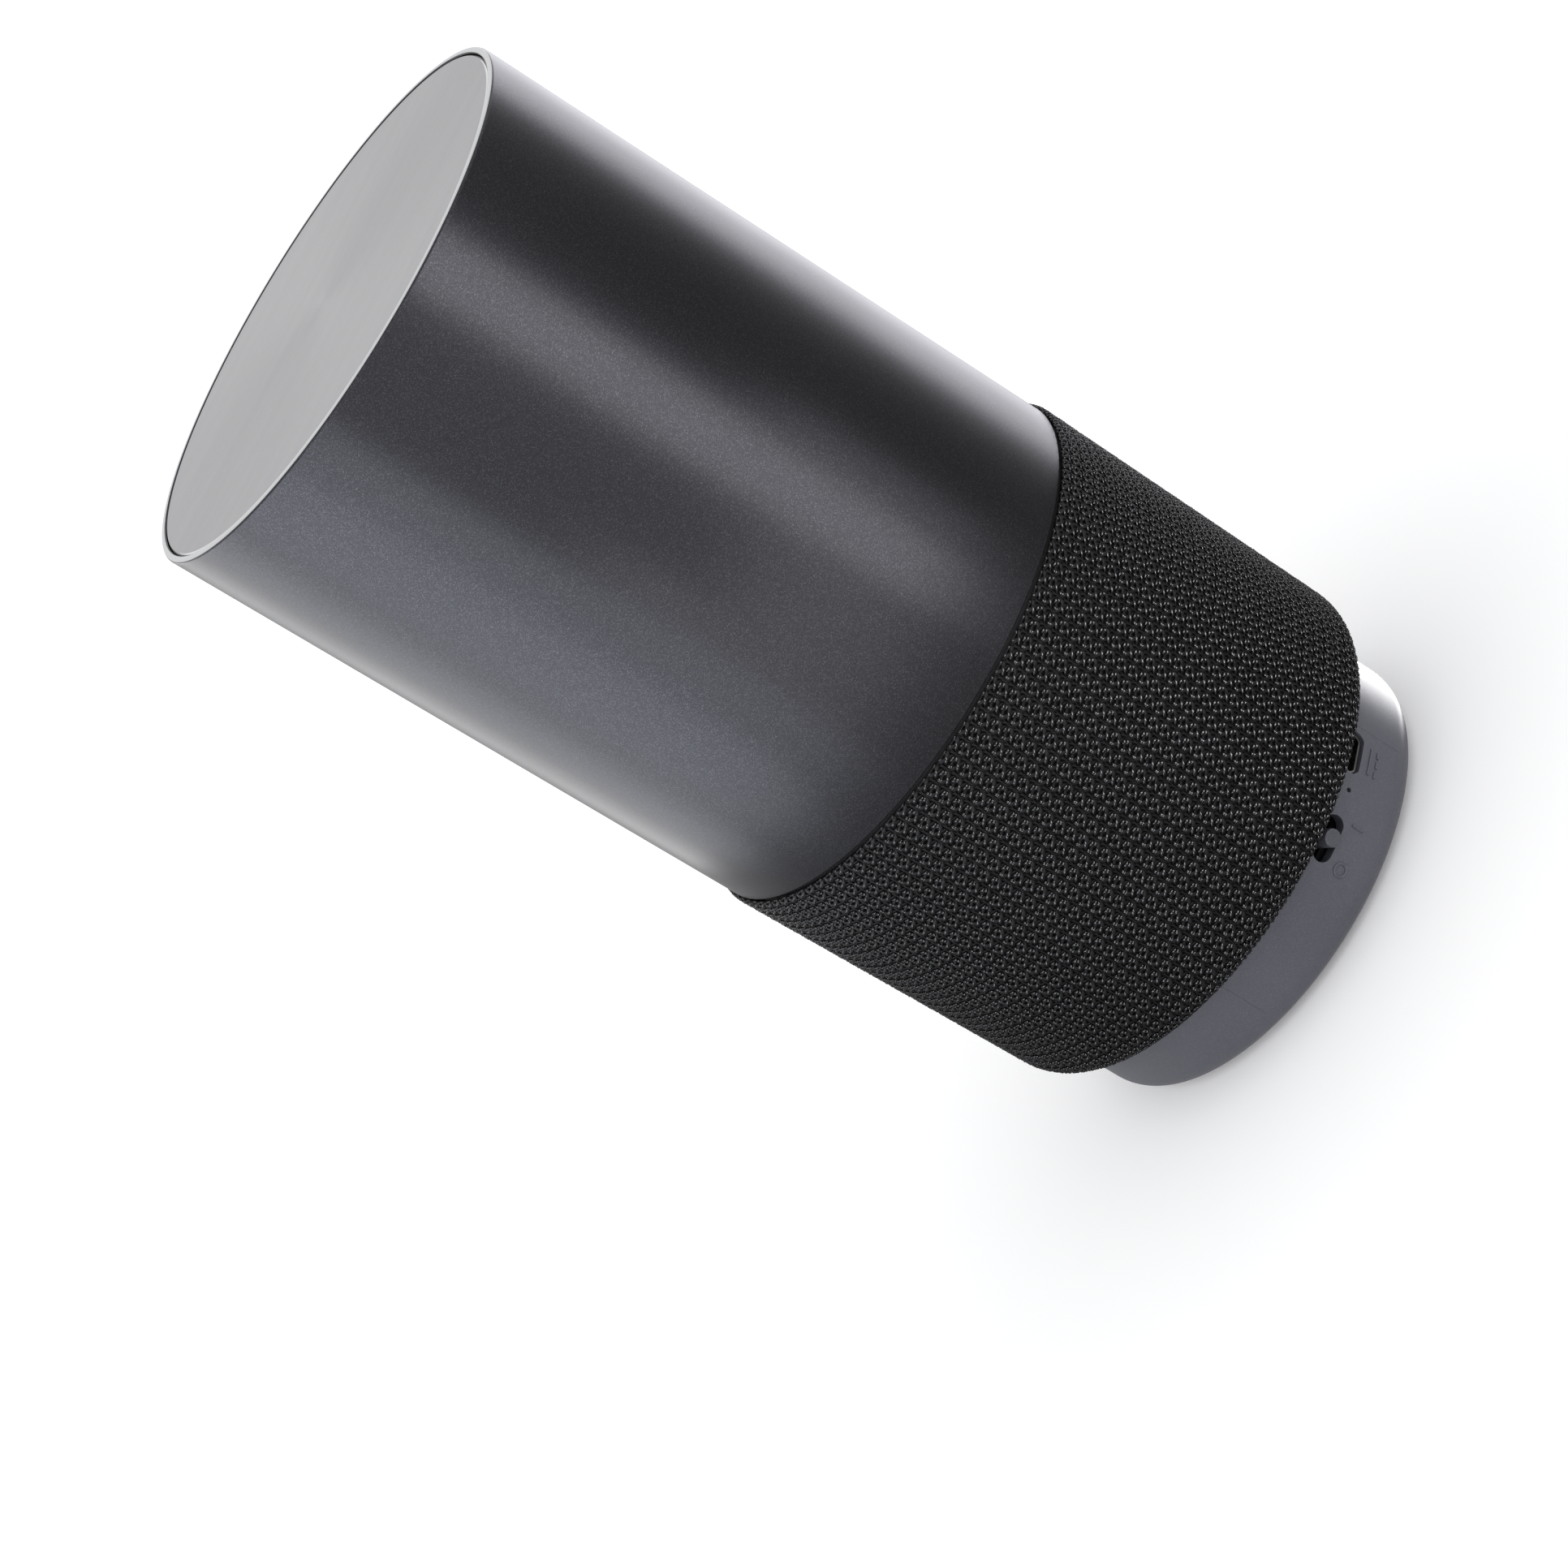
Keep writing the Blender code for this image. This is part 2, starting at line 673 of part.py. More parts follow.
def power_switch():
    """A slide switch on the board; its lever and the knob on it travel along X."""
    front = BASE_RADIUS - BASE_WALL - 2.4
    depth, height = 4.6, 3.4
    pocket_depth = 3.8
    body_place = place(SWITCH_ANGLE, front - depth / 2, BOARD_TOP + 0.2 + height / 2)
    body = blocks("slide_switch_body", STEEL, [((depth, 9.8, height), body_place)])
    pocket = place(SWITCH_ANGLE, front - pocket_depth / 2 + 0.5, SWITCH_Z)
    cut(body, blocks("switch_pocket", None, [((pocket_depth + 1.0, 7.4, 2.0), pocket)]))
    knob_back = BASE_RADIUS - BASE_WALL - 1.0
    lever_end = knob_back - GAP
    lever_back = front - pocket_depth + 0.9
    lever = place(SWITCH_ANGLE, (lever_end + lever_back) / 2, SWITCH_Z)
    blocks("slide_switch_lever", BLACK_PLASTIC, [((lever_end - lever_back, 2.2, 1.3), lever)])
    knob = turned(
        "power_switch_knob",
        [
            (0.0, BASE_RADIUS + KNOB_PROUD),
            (KNOB_RADIUS - 0.2, BASE_RADIUS + KNOB_PROUD),
            (KNOB_RADIUS, BASE_RADIUS + KNOB_PROUD - 0.2),
            (KNOB_RADIUS, knob_back),
            (0.0, knob_back),
        ],
        BASE_PLASTIC,
        COARSE,
    )
    lie_down = Matrix.Rotation(math.radians(90.0), 4, "X")
    knob.matrix_world = Matrix.Translation((0.0, 0.0, SWITCH_Z * MM)) @ lie_down


# ---- sound


def sound_deflector():
    """A hollow concave cone that turns the driver's sound outwards all round."""
    base, tip = DECK_TOP + GAP, 64.0
    widest = CAGE_FLANGE_INNER - 0.5

    def flank(offset, low, high, points):
        """Radius falling with height along a decaying curve, moved in by an offset."""
        heights = [low + (high - low) * i / (points - 1) for i in range(points)]
        return [(max(0.0, 31.0 * math.exp(-(z - low) / 15.5) - offset), z) for z in heights]

    outer = [(widest, base), (widest, base + 1.5)] + flank(1.0, base + 2.0, tip - 3.0, 7)
    inner = [point for point in flank(3.0, base, tip - 8.0, 6) if point[0] > 0.8]
    turned("sound_deflector", [(0.0, tip)] + outer[::-1] + inner + [(0.0, inner[-1][1])], BLACK_PLASTIC)


def speaker_chamber():
    bottom = CAGE_TOP + GAP
    floor_top = bottom + CHAMBER_FLANGE_THICKNESS
    inside = CHAMBER_RADIUS - CHAMBER_WALL
    outline = [
        (0.0, CHAMBER_TOP),
        (CHAMBER_RADIUS, CHAMBER_TOP),
        (CHAMBER_RADIUS, floor_top),
        (CHAMBER_FLANGE_RADIUS, floor_top),
        (CHAMBER_FLANGE_RADIUS, bottom),
        (CHAMBER_MOUTH, bottom),
        (CHAMBER_MOUTH, floor_top),
        (inside, floor_top),
        (inside, CHAMBER_TOP - CHAMBER_WALL),
        (0.0, CHAMBER_TOP - CHAMBER_WALL),
    ]
    chamber = turned("speaker_chamber", outline, BLACK_PLASTIC)
    bosses = [place(angle, DRIVER_SCREW_RADIUS) for angle in DRIVER_SCREW_ANGLES]
    join(chamber, rods("driver_bosses", None, 2.6, floor_top - 1.0, 84.5, bosses))
    through_wall = place(LEAD_ANGLE, CHAMBER_RADIUS - 1.0, 89.6)
    cut(
        chamber,
        rods("driver_pilots", None, PILOT_RADIUS, bottom - 1.0, 83.5, bosses),
        blocks("lead_notch", None, [((7.0, 6.0, 6.0), place(LEAD_ANGLE, 42.2, bottom + 1.2))]),
        prism(
            "lead_entry",
            None,
            [(y - LEAD_OFFSET, z) for y, z in arc((0.0, 0.0), LEAD_RADIUS + 3 * GAP, 0.0, 330.0, 12)],
            6.0,
            through_wall @ Matrix.Rotation(math.pi, 4, "Z"),
        ),
    )


def driver():
    """A small full-range driver facing down, with its magnet in the chamber."""
    front = DRIVER_FRONT
    flange_back = front + 1.3
    basket = turned(
        "driver_basket",
        [
            (BASKET_RADIUS, flange_back),
            (BASKET_RADIUS, front),
            (25.5, front),
            (25.4, front + 1.0),
            (16.6, front + 13.9),
            (9.6, front + 13.9),
            (9.6, front + 15.1),
            (17.6, front + 15.1),
            (27.2, flange_back),
        ],
        STEEL,
    )
    windows = [((12.0, 11.0, 6.5), place(60.0 * i, 22.5, front + 7.6)) for i in range(6)]
    holes = [place(angle, DRIVER_SCREW_RADIUS) for angle in DRIVER_SCREW_ANGLES]
    cut(
        basket,
        blocks("basket_windows", None, windows),
        rods("basket_screw_holes", None, PILOT_RADIUS + 0.2, front - 1.0, front + 3.0, holes),
    )
    screws("driver_screw", 7.5, DRIVER_SCREW_RADIUS, front - 0.15, DRIVER_SCREW_ANGLES)
    gasket_top = CAGE_TOP
    gasket = [(30.8, gasket_top), (30.8, gasket_top - 0.8), (28.2, gasket_top - 0.8), (28.2, gasket_top)]
    turned("driver_gasket", gasket, FOAM)

    plate = front + 15.1 + GAP
    ring = [(17.4, plate + 3.0), (17.4, plate), (FRONT_PLATE_BORE, plate), (FRONT_PLATE_BORE, plate + 3.0)]
    turned("driver_front_plate", ring, STEEL, COARSE)
    magnet = plate + 3.0 + GAP
    turned(
        "driver_magnet",
        [
            (20.5, magnet + 6.0),
            (21.0, magnet + 5.5),
            (21.0, magnet),
            (11.0, magnet),
            (11.0, magnet + 6.0),
        ],
        FERRITE,
        COARSE,
    )
    yoke = magnet + 6.0 + GAP
    turned(
        "driver_yoke",
        [
            (0.0, yoke + 3.0),
            (17.5, yoke + 3.0),
            (17.5, yoke),
            (POLE_RADIUS, yoke),
            (POLE_RADIUS, plate),
            (0.0, plate),
        ],
        STEEL,
        COARSE,
    )
    coil = [(COIL_OUTER, front + 19.4), (COIL_OUTER, front + 7.2), (COIL_INNER, front + 7.2)]
    turned("voice_coil", coil + [(COIL_INNER, front + 19.4)], COPPER, COARSE)
    tag = Matrix.Translation((-24.4 * MM, 0.0, (front + 9.2) * MM))
    blocks("driver_terminal", BRASS, [((5.4, 7.0, 1.2), tag)])


def driver_diaphragm():
    """Paper cone, dust cap, rubber surround and cloth spider. They share the driver's axis."""
    front = DRIVER_FRONT
    neck, edge = 9.4, 22.4
    slope = [(neck + (edge - neck) * i / 4, front + 8.3 - 6.9 * (i / 4) ** 0.8) for i in range(5)]
    turned_sheet("speaker_cone", slope, 0.5, PAPER)
    dome = [(9.9 * i / 5, front + 4.2 + 2.9 * (i / 5) ** 2) for i in range(6)]
    cap = [(r, z) for r, z in dome] + [(r, z + 0.5) for r, z in dome[:-1]][::-1]
    turned("dust_cap", cap, PAPER, COARSE)
    lip = front - GAP - 0.25
    surround = [(28.6, lip), (25.9, lip)]
    surround += arc((24.3, lip), 1.6, -30.0, -150.0, 4)
    surround += [(22.6, lip + 0.2), (22.1, front + 0.75), (21.2, front + 1.15)]
    turned_sheet("cone_surround", surround, 0.4, RUBBER)
    waves, points = 2, 7
    spider = [
        (
            9.2 + 9.0 * i / (points - 1),
            front + 11.0 + 0.55 * math.sin(2 * math.pi * waves * i / (points - 1)),
        )
        for i in range(points)
    ]
    turned_sheet("cone_spider", spider, 0.35, SPIDER_CLOTH)


# ---- battery


def battery():
    """Two cells side by side in a holder on the chamber, with their protection board on top."""
    low = CHAMBER_TOP + GAP
    floor = low + 2.0
    holder = rods("battery_holder", BLACK_PLASTIC, 38.0, low, floor, [Matrix()], MEDIUM)
    posts = [place(angle, HOLDER_POST_RADIUS) for angle in HOLDER_POST_ANGLES]
    middle = Matrix.Translation((0.0, 0.0, (floor + 19.0) * MM))
    lying = middle @ Matrix.Rotation(math.radians(90.0), 4, "Y")
    outline = [(z, y) for y, z in stadium(4 * CELL_OFFSET + 3.0, 2 * CELL_OFFSET + 3.0, 7)]
    sleeve = prism("cell_sleeve", None, [(y, z) for z, y in outline], 40.0, lying @ turn_yz())
    join(holder, sleeve, rods("holder_posts", None, 3.6, floor - 1.0, POST_TOP, posts))
    cells = [Matrix.Translation((side * CELL_OFFSET * MM, 0.0, 0.0)) for side in (-1, 1)]
    cut(
        holder,
        rods("cell_bores", None, CELL_RADIUS + GAP, floor, floor + 60.0, cells, COARSE),
        rods("post_pilots", None, PILOT_RADIUS, POST_TOP - 9.0, POST_TOP + 1.0, posts),
    )
    bottom = floor + GAP
    for number, where in enumerate(cells, 1):
        cell = turned(
            f"battery_cell_{number}",
            [
                (0.0, bottom + CELL_LENGTH),
                (2.8, bottom + CELL_LENGTH),
                (2.8, bottom + CELL_LENGTH - 0.7),
                (CELL_RADIUS - 0.6, bottom + CELL_LENGTH - 0.7),
                (CELL_RADIUS, bottom + CELL_LENGTH - 1.3),
                (CELL_RADIUS, bottom + 0.4),
                (CELL_RADIUS - 0.4, bottom),
                (0.0, bottom),
            ],
            CELL_WRAP,
            COARSE,
        )
        cell.matrix_world = where
    board = Matrix.Translation((0.0, 0.0, (bottom + CELL_LENGTH + GAP + 0.6) * MM))
    blocks("battery_board", SOLDER_MASK, [((38.0, 17.0, 1.2), board)])


def turn_yz():
    """A quarter turn about X, which lays an outline's first axis across."""
    return Matrix.Rotation(math.radians(90.0), 4, "X")


def leads():
    """Both leads leave the socket, go up through the deck and pass between driver and cage."""
    outer = 40.1
    up_the_side = [(-LEAD_HOLE_RADIUS, 17.5), (-LEAD_HOLE_RADIUS, 22.0), (-37.0, 28.0), (-outer, 36.0)]
    socket = [(-28.8, 14.2), (-31.5, 14.4)]

    def route(y, points):
        return [(x, y, z) for x, z in points]

    to_battery = [(-outer, z) for z in (60.0, 90.0, 120.0, 150.0, 165.0)]
    to_battery += [(-38.0, 172.0), (-30.0, 176.0), (-22.0, 176.5), (-19.4, 176.5)]
    to_driver = [(-outer, 60.0), (-outer, 82.0), (-39.2, 88.5), (-36.5, 90.0), (-31.0, 88.6)]
    to_driver += [(-28.4, 84.4), (-27.5, 83.8)]
    lead("battery_lead", RED_LEAD, route(LEAD_OFFSET, socket + up_the_side + to_battery))
    lead("speaker_lead", GREY_LEAD, route(-LEAD_OFFSET, socket + up_the_side + to_driver))


upper_shell()
top_carrier(top_disc())
fabric_sleeve()
grille_frame()
junction_ring()
base_housing()
bottom_plate()
rubber_foot()
main_board()
board_components()
micro_usb()
indicator()
power_switch()
sound_deflector()
speaker_chamber()
driver()
driver_diaphragm()
battery()
leads()
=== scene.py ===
"""The looks of a cylindrical portable bluetooth speaker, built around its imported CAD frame."""

import json
from math import acos, atan2, cos, degrees, pi, radians, sin, tan

import bmesh
import bpy
import numpy as np
from mathutils import Matrix, Vector


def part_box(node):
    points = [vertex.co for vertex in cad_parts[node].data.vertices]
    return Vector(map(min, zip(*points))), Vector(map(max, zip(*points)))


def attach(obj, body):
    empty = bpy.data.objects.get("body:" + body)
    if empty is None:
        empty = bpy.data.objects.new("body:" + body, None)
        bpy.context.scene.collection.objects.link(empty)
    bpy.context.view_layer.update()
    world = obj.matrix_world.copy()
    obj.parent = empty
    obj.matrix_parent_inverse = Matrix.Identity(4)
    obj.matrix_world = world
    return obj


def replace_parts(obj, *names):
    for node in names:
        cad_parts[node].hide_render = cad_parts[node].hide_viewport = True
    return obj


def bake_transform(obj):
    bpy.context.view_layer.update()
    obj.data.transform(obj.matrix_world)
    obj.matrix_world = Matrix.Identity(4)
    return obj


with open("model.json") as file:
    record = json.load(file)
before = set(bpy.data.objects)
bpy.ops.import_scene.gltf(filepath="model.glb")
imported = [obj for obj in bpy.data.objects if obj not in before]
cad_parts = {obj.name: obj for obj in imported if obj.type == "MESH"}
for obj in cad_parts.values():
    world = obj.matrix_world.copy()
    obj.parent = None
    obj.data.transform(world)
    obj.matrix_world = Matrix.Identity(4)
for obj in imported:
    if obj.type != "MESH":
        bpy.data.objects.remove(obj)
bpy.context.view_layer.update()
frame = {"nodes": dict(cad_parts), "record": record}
NODES = frame["nodes"]
SLOT_OF = {part["node"]: part["material_slot"] for part in frame["record"]["subparts"]}
MM = 0.001

# ---- driving sizes, read from the frame and in millimetres


def size_of(node):
    """(radius, bottom, top) of a round node that stands on the axis."""
    low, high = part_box(node)
    return high.x / MM, low.z / MM, high.z / MM


def middle_of(node):
    low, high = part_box(node)
    return (low + high) / 2 / MM


def angle_of(node):
    """A node's direction from the axis, in degrees about +Z from +X."""
    centre = middle_of(node)
    return degrees(atan2(centre.y, centre.x))


SHELL_RADIUS, SHELL_BOTTOM, TOP = size_of("upper_shell")
SLEEVE_RADIUS, SLEEVE_BOTTOM, SLEEVE_TOP = size_of("fabric_sleeve")
BASE_RADIUS, BASE_BOTTOM, DECK_TOP = size_of("base_housing")
DISC_RADIUS, DISC_BOTTOM, DISC_TOP = size_of("top_disc")
PLATE_RADIUS, PLATE_BOTTOM, PLATE_TOP = size_of("bottom_plate")
FOOT_RADIUS, _, FOOT_TOP = size_of("rubber_foot")
PORT_ANGLE = angle_of("micro_usb_shell")
LIGHT_ANGLE = angle_of("light_pipe")
KNOB_ANGLE = -90.0
KNOB = middle_of("power_switch_knob")
KNOB_LOW, KNOB_HIGH = (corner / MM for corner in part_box("power_switch_knob"))
KNOB_FRONT, KNOB_BACK = -KNOB_LOW.y, -KNOB_HIGH.y
KNOB_RADIUS = (KNOB_HIGH.x - KNOB_LOW.x) / 2

# Sizes that the CAD holds and a box doesn't show, in millimetres
GAP = 0.3
SHELL_WALL = 1.1
SLEEVE_RADIUS_LOW = 44.8
SLEEVE_CORNER = 6.5
SLEEVE_END_RADIUS = BASE_RADIUS + GAP
BASE_WALL = 2.2
BASE_CORNER = 4.5
SLOT_LENGTH, SLOT_HEIGHT = 8.1, 3.4
PIN_HOLE_Z, PIN_HOLE_RADIUS = 12.7, 0.4
PORT_Z, PORT_WIDTH, PORT_HEIGHT, PORT_CHAMFER = 13.45, 7.9, 3.1, 0.9
SOCKET_DEPTH, SOCKET_MOUTH = 5.6, BASE_RADIUS - 0.7
HEAD_RADIUS, HEAD_HEIGHT, SHANK_RADIUS = 1.75, 1.2, 0.9
FOOT_INNER = 19.0
DRIVER_FRONT = 74.6

# Sizes of the visual model only, in millimetres
DISC_GAP = 0.2
BOARD_CLEARANCE = 0.2

# The knit: columns round the sleeve, rows down it
COLUMNS = 108
ROWS = 30

# The camera looks along this azimuth, this far below the horizon, turned about its own axis
CAMERA_AZIMUTH = -14.87
CAMERA_ELEVATION = 20.18
CAMERA_ROLL = 59.03
CAMERA_DISTANCE = 0.7026
CAMERA_AIM = Vector((-0.02539, 0.00674, 0.08101))
CAMERA_LENS = 102.11


# ---- material helpers


def scaled(colour, factor):
    return tuple(min(1.0, part * factor) for part in colour)


class Nodes:
    """A node tree, written one node at a time."""

    def __init__(self, owner):
        owner.use_nodes = True
        self.tree = owner.node_tree

    def add(self, kind, inputs=None, **settings):
        node = self.tree.nodes.new("ShaderNode" + kind)
        for key, value in settings.items():
            setattr(node, key, value)
        self.feed(node, inputs or {})
        return node

    def feed(self, node, inputs):
        for key, value in inputs.items():
            socket = node.inputs[key]
            if isinstance(value, bpy.types.NodeSocket):
                self.tree.links.new(value, socket)
            else:
                socket.default_value = value

    def combine(self, operation, *terms):
        """The result of a math node."""
        return self.add("Math", dict(enumerate(terms)), operation=operation).outputs[0]

    def place(self, scale=(1.0, 1.0, 1.0), turn=0.0):
        """Object coordinates, turned about +Z by degrees and stretched."""
        where = self.add("TexCoord").outputs["Object"]
        inputs = {"Vector": where, "Rotation": (0.0, 0.0, radians(turn)), "Scale": scale}
        return self.add("Mapping", inputs).outputs["Vector"]

    def noise(self, scale, detail, stretch=(1.0, 1.0, 1.0), roughness=0.5, turn=0.0):
        inputs = {"Vector": self.place(stretch, turn), "Scale": scale}
        inputs |= {"Detail": detail, "Roughness": roughness}
        return self.add("TexNoise", inputs).outputs["Fac"]

    def cells(self, scale):
        """A random value in each small cell."""
        found = self.add("TexVoronoi", {"Vector": self.place(), "Scale": scale})
        return self.add("SeparateColor", {"Color": found.outputs["Color"]}).outputs["Red"]

    def pores(self, scale, **settings):
        """The distance to the middle of each small cell."""
        inputs = {"Vector": self.place(), "Scale": scale}
        return self.add("TexVoronoi", inputs, **settings).outputs["Distance"]

    def ridges(self, scale, way):
        """Even waves across one direction."""
        inputs = {"Vector": self.place(), "Scale": scale}
        return self.add("TexWave", inputs, bands_direction=way).outputs["Fac"]

    def between(self, value, low, high, start=0.0, end=1.0):
        """A value mapped from start..end to low..high."""
        inputs = {"Value": value, "From Min": start, "From Max": end, "To Min": low, "To Max": high}
        return self.add("MapRange", inputs).outputs["Result"]

    def colours(self, value, *stops):
        """A colour ramp through (position, colour) stops."""
        ramp = self.add("ValToRGB", {"Fac": value})
        elements = ramp.color_ramp.elements
        while len(elements) < len(stops):
            elements.new(0.5)
        for element, (position, colour) in zip(elements, stops):
            element.position = position
            element.color = (*colour, 1.0)
        return ramp.outputs["Color"]

    def shade(self, value, colour, low, high, start=0.3, end=0.7):
        """A colour whose brightness goes from low to high."""
        return self.colours(value, (start, scaled(colour, low)), (end, scaled(colour, high)))

    def bump(self, height, strength, distance, under=None):
        inputs = {"Height": height, "Strength": strength, "Distance": distance}
        if under:
            inputs["Normal"] = under
        return self.add("Bump", inputs).outputs["Normal"]


class Look(Nodes):
    """A material whose surface is fed by these nodes."""

    def __init__(self, name):
        self.made = bpy.data.materials.new(name)
        super().__init__(self.made)

    def set(self, **inputs):
        shader = self.tree.nodes["Principled BSDF"]
        self.feed(shader, {key.replace("_", " "): value for key, value in inputs.items()})


def moulded(name, colour, roughness, spread=0.12, grain=1500.0, depth=0.00002):
    """Injection-moulded plastic or rubber: fine spark-eroded grain and slight unevenness."""
    look = Look(name)
    patches = look.noise(60.0, 4.0)
    fine = look.noise(grain, 2.0)
    look.set(
        Base_Color=look.shade(patches, colour, 1 - spread, 1 + spread),
        Roughness=look.between(patches, roughness - 0.05, roughness + 0.07, 0.3, 0.7),
        Normal=look.bump(fine, 0.35, depth),
    )
    return look.made


def metal(name, colour, roughness, stretch):
    """Rolled or turned metal, with fine lines along one direction."""
    look = Look(name)
    lines = look.noise(900.0, 3.0, stretch)
    patches = look.noise(90.0, 3.0)
    look.set(
        Base_Color=look.shade(patches, colour, 0.9, 1.06),
        Metallic=1.0,
        Roughness=look.between(lines, roughness - 0.07, roughness + 0.09, 0.3, 0.7),
        Normal=look.bump(lines, 0.3, 0.000006),
    )
    return look.made


# ---- materials of the outside


def shell_paint():
    """Dark satin metallic paint: flakes under a thin haze, with a soft orange peel."""
    look = Look("shell_paint")
    flakes = look.cells(8800.0)
    mist = look.noise(26.0, 3.0)
    peel = look.noise(420.0, 2.0)
    dark, middle, pale = (0.035, 0.0348, 0.039), (0.043, 0.0428, 0.048), (0.074, 0.074, 0.083)
    sparkle = look.bump(flakes, 0.05, 0.000008, look.bump(peel, 0.05, 0.00003))
    look.set(
        Base_Color=look.colours(flakes, (0.0, dark), (0.74, middle), (1.0, pale)),
        Metallic=1.0,
        Roughness=look.between(mist, 0.30, 0.33, 0.35, 0.65),
        Normal=sparkle,
    )
    return look.made


def turned_metal(name, level, roughness):
    """A narrow turned edge, with fine lines round it."""
    look = Look(name)
    around = look.noise(2600.0, 2.0, (1.0, 1.0, 12.0))
    look.set(
        Base_Color=look.shade(around, (0.985, 0.993, 1.0), level * 0.94, level * 1.06),
        Metallic=1.0,
        Roughness=look.between(around, roughness - 0.04, roughness + 0.05, 0.3, 0.7),
    )
    return look.made


def disc_metal():
    """Bead-blasted and brushed aluminium with a few hairline scratches."""
    look = Look("disc_metal")
    grain_turn, hair_turn = 62.0, 20.0
    brushed = look.noise(420.0, 5.0, (1.0, 9.0, 1.0), turn=grain_turn)
    streaks = look.noise(26.0, 3.0, (1.0, 9.0, 1.0), turn=grain_turn)
    blast = look.noise(3200.0, 3.0)
    tone = look.combine("ADD", brushed, blast)
    half_tone = look.combine("MULTIPLY_ADD", tone, 0.34, look.between(streaks, 0.0, 0.32))
    hair = look.noise(7.0, 1.0, (7.0, 260.0, 1.0), turn=hair_turn)
    scratch = look.between(hair, 0.0, 1.0, 0.735, 0.76)
    height = look.combine("ADD", brushed, look.between(scratch, 0.0, -1.5))
    look.set(
        Base_Color=look.colours(half_tone, (0.34, (0.296, 0.293, 0.301)), (0.66, (0.386, 0.382, 0.391))),
        Metallic=0.9,
        Roughness=look.between(half_tone, 0.36, 0.46, 0.3, 0.7),
        Anisotropic=0.35,
        Normal=look.bump(blast, 0.18, 0.00001, look.bump(height, 0.18, 0.00001)),
    )
    return look.made


def base_plastic(name="base_plastic", level=1.0):
    """Grey moulded plastic with pale metallic specks."""
    look = Look(name)
    specks = look.cells(12500.0)
    patches = look.noise(45.0, 3.0)
    grain = look.noise(1800.0, 2.0)
    dark, light = scaled((0.093, 0.095, 0.116), level), scaled((0.103, 0.105, 0.127), level)
    ground = look.colours(patches, (0.3, dark), (0.7, light))
    bright = look.between(specks, 0.0, 0.20, 0.72, 1.0)
    mixed = look.add("Mix", data_type="RGBA")
    look.feed(mixed, {0: bright, 6: ground, 7: (0.36, 0.37, 0.40, 1.0)})
    look.set(
        Base_Color=mixed.outputs[2],
        Metallic=0.1,
        Specular_IOR_Level=0.5,
        Roughness=look.between(patches, 0.36, 0.42, 0.3, 0.7),
        Normal=look.bump(grain, 0.22, 0.00002),
    )
    return look.made


def yarn(name, tone, roughness):
    """Black multifilament yarn. Each tube's own map runs along it, so the filaments follow it."""
    look = Look(name)
    twist = {"Vector": look.add("UVMap").outputs["UV"]}
    twist |= {"Scale": (0.6, 7.0, 1.0), "Rotation": (0.0, 0.0, 0.35)}
    twisted = look.add("Mapping", twist).outputs["Vector"]
    waves = {"Vector": twisted, "Scale": 1.0, "Distortion": 0.6}
    filaments = look.add("TexWave", waves, bands_direction="Y").outputs["Fac"]
    patches = look.noise(500.0, 3.0)
    look.set(
        Base_Color=look.shade(patches, tone, 0.75, 1.35),
        Roughness=look.between(filaments, roughness - 0.06, roughness + 0.1),
        Specular_IOR_Level=0.15,
        Normal=look.bump(filaments, 0.25, 0.00002),
    )
    return look.made


def ground_cloth():
    """The fine back of the knit, seen through its openings. The holes of its weave are painted darker
    than its threads, as painted shade.
    """
    look = Look("ground_cloth")
    weave = look.pores(2600.0)
    thread, hole = (0.012, 0.0115, 0.013), (0.004, 0.004, 0.0045)
    look.set(
        Base_Color=look.colours(weave, (0.2, thread), (0.8, hole)),
        Roughness=look.between(weave, 0.75, 0.95),
        Specular_IOR_Level=0.08,
        Normal=look.bump(weave, 0.5, 0.0001),
    )
    return look.made


# ---- materials of the inside


def fibrous(name, colour, roughness, scale, depth):
    """Pressed paper: short fibres lying every way."""
    look = Look(name)
    one = look.noise(scale, 6.0, (1.0, 5.0, 1.0), 0.7)
    other = look.noise(scale, 6.0, (5.0, 1.0, 1.0), 0.7)
    felt = look.combine("MAXIMUM", one, other)
    look.set(
        Base_Color=look.shade(felt, colour, 0.7, 1.5, 0.45, 0.75),
        Roughness=look.between(felt, roughness - 0.08, roughness + 0.06, 0.4, 0.8),
        Normal=look.bump(felt, 0.5, depth),
    )
    return look.made


def woven(name, colour, threads):
    """Resin-dipped cloth: two sets of threads, so many to the metre. The gaps between the threads are
    painted darker, as painted shade.
    """
    look = Look(name)
    height = look.combine("MAXIMUM", *(look.ridges(threads / 20, way) for way in "XY"))
    look.set(
        Base_Color=look.shade(height, colour, 0.55, 1.0, 0.1, 0.9),
        Roughness=look.between(height, 0.6, 0.85),
        Normal=look.bump(height, 0.6, 0.0001),
    )
    return look.made


def wound(name, colour, pitch):
    """Enamelled wire laid turn on turn up the axis. The grooves between the turns are painted darker, as
    painted shade.
    """
    look = Look(name)
    turns = look.ridges(pi / (10 * pitch), "Z")
    look.set(
        Base_Color=look.shade(turns, colour, 0.5, 1.0, 0.1, 0.8),
        Metallic=1.0,
        Roughness=look.between(turns, 0.26, 0.5, 1.0, 0.0),
        Normal=look.bump(turns, 0.8, 0.00008),
    )
    return look.made


def foam(name, colour):
    look = Look(name)
    # The colour darkens down into each pore, where the bump is deepest: painted shade.
    pores = look.pores(1900.0)
    look.set(
        Base_Color=look.shade(pores, colour, 0.3, 1.3, 0.1, 0.6),
        Roughness=look.between(pores, 0.85, 0.98),
        Normal=look.bump(pores, 0.7, 0.0002),
    )
    return look.made


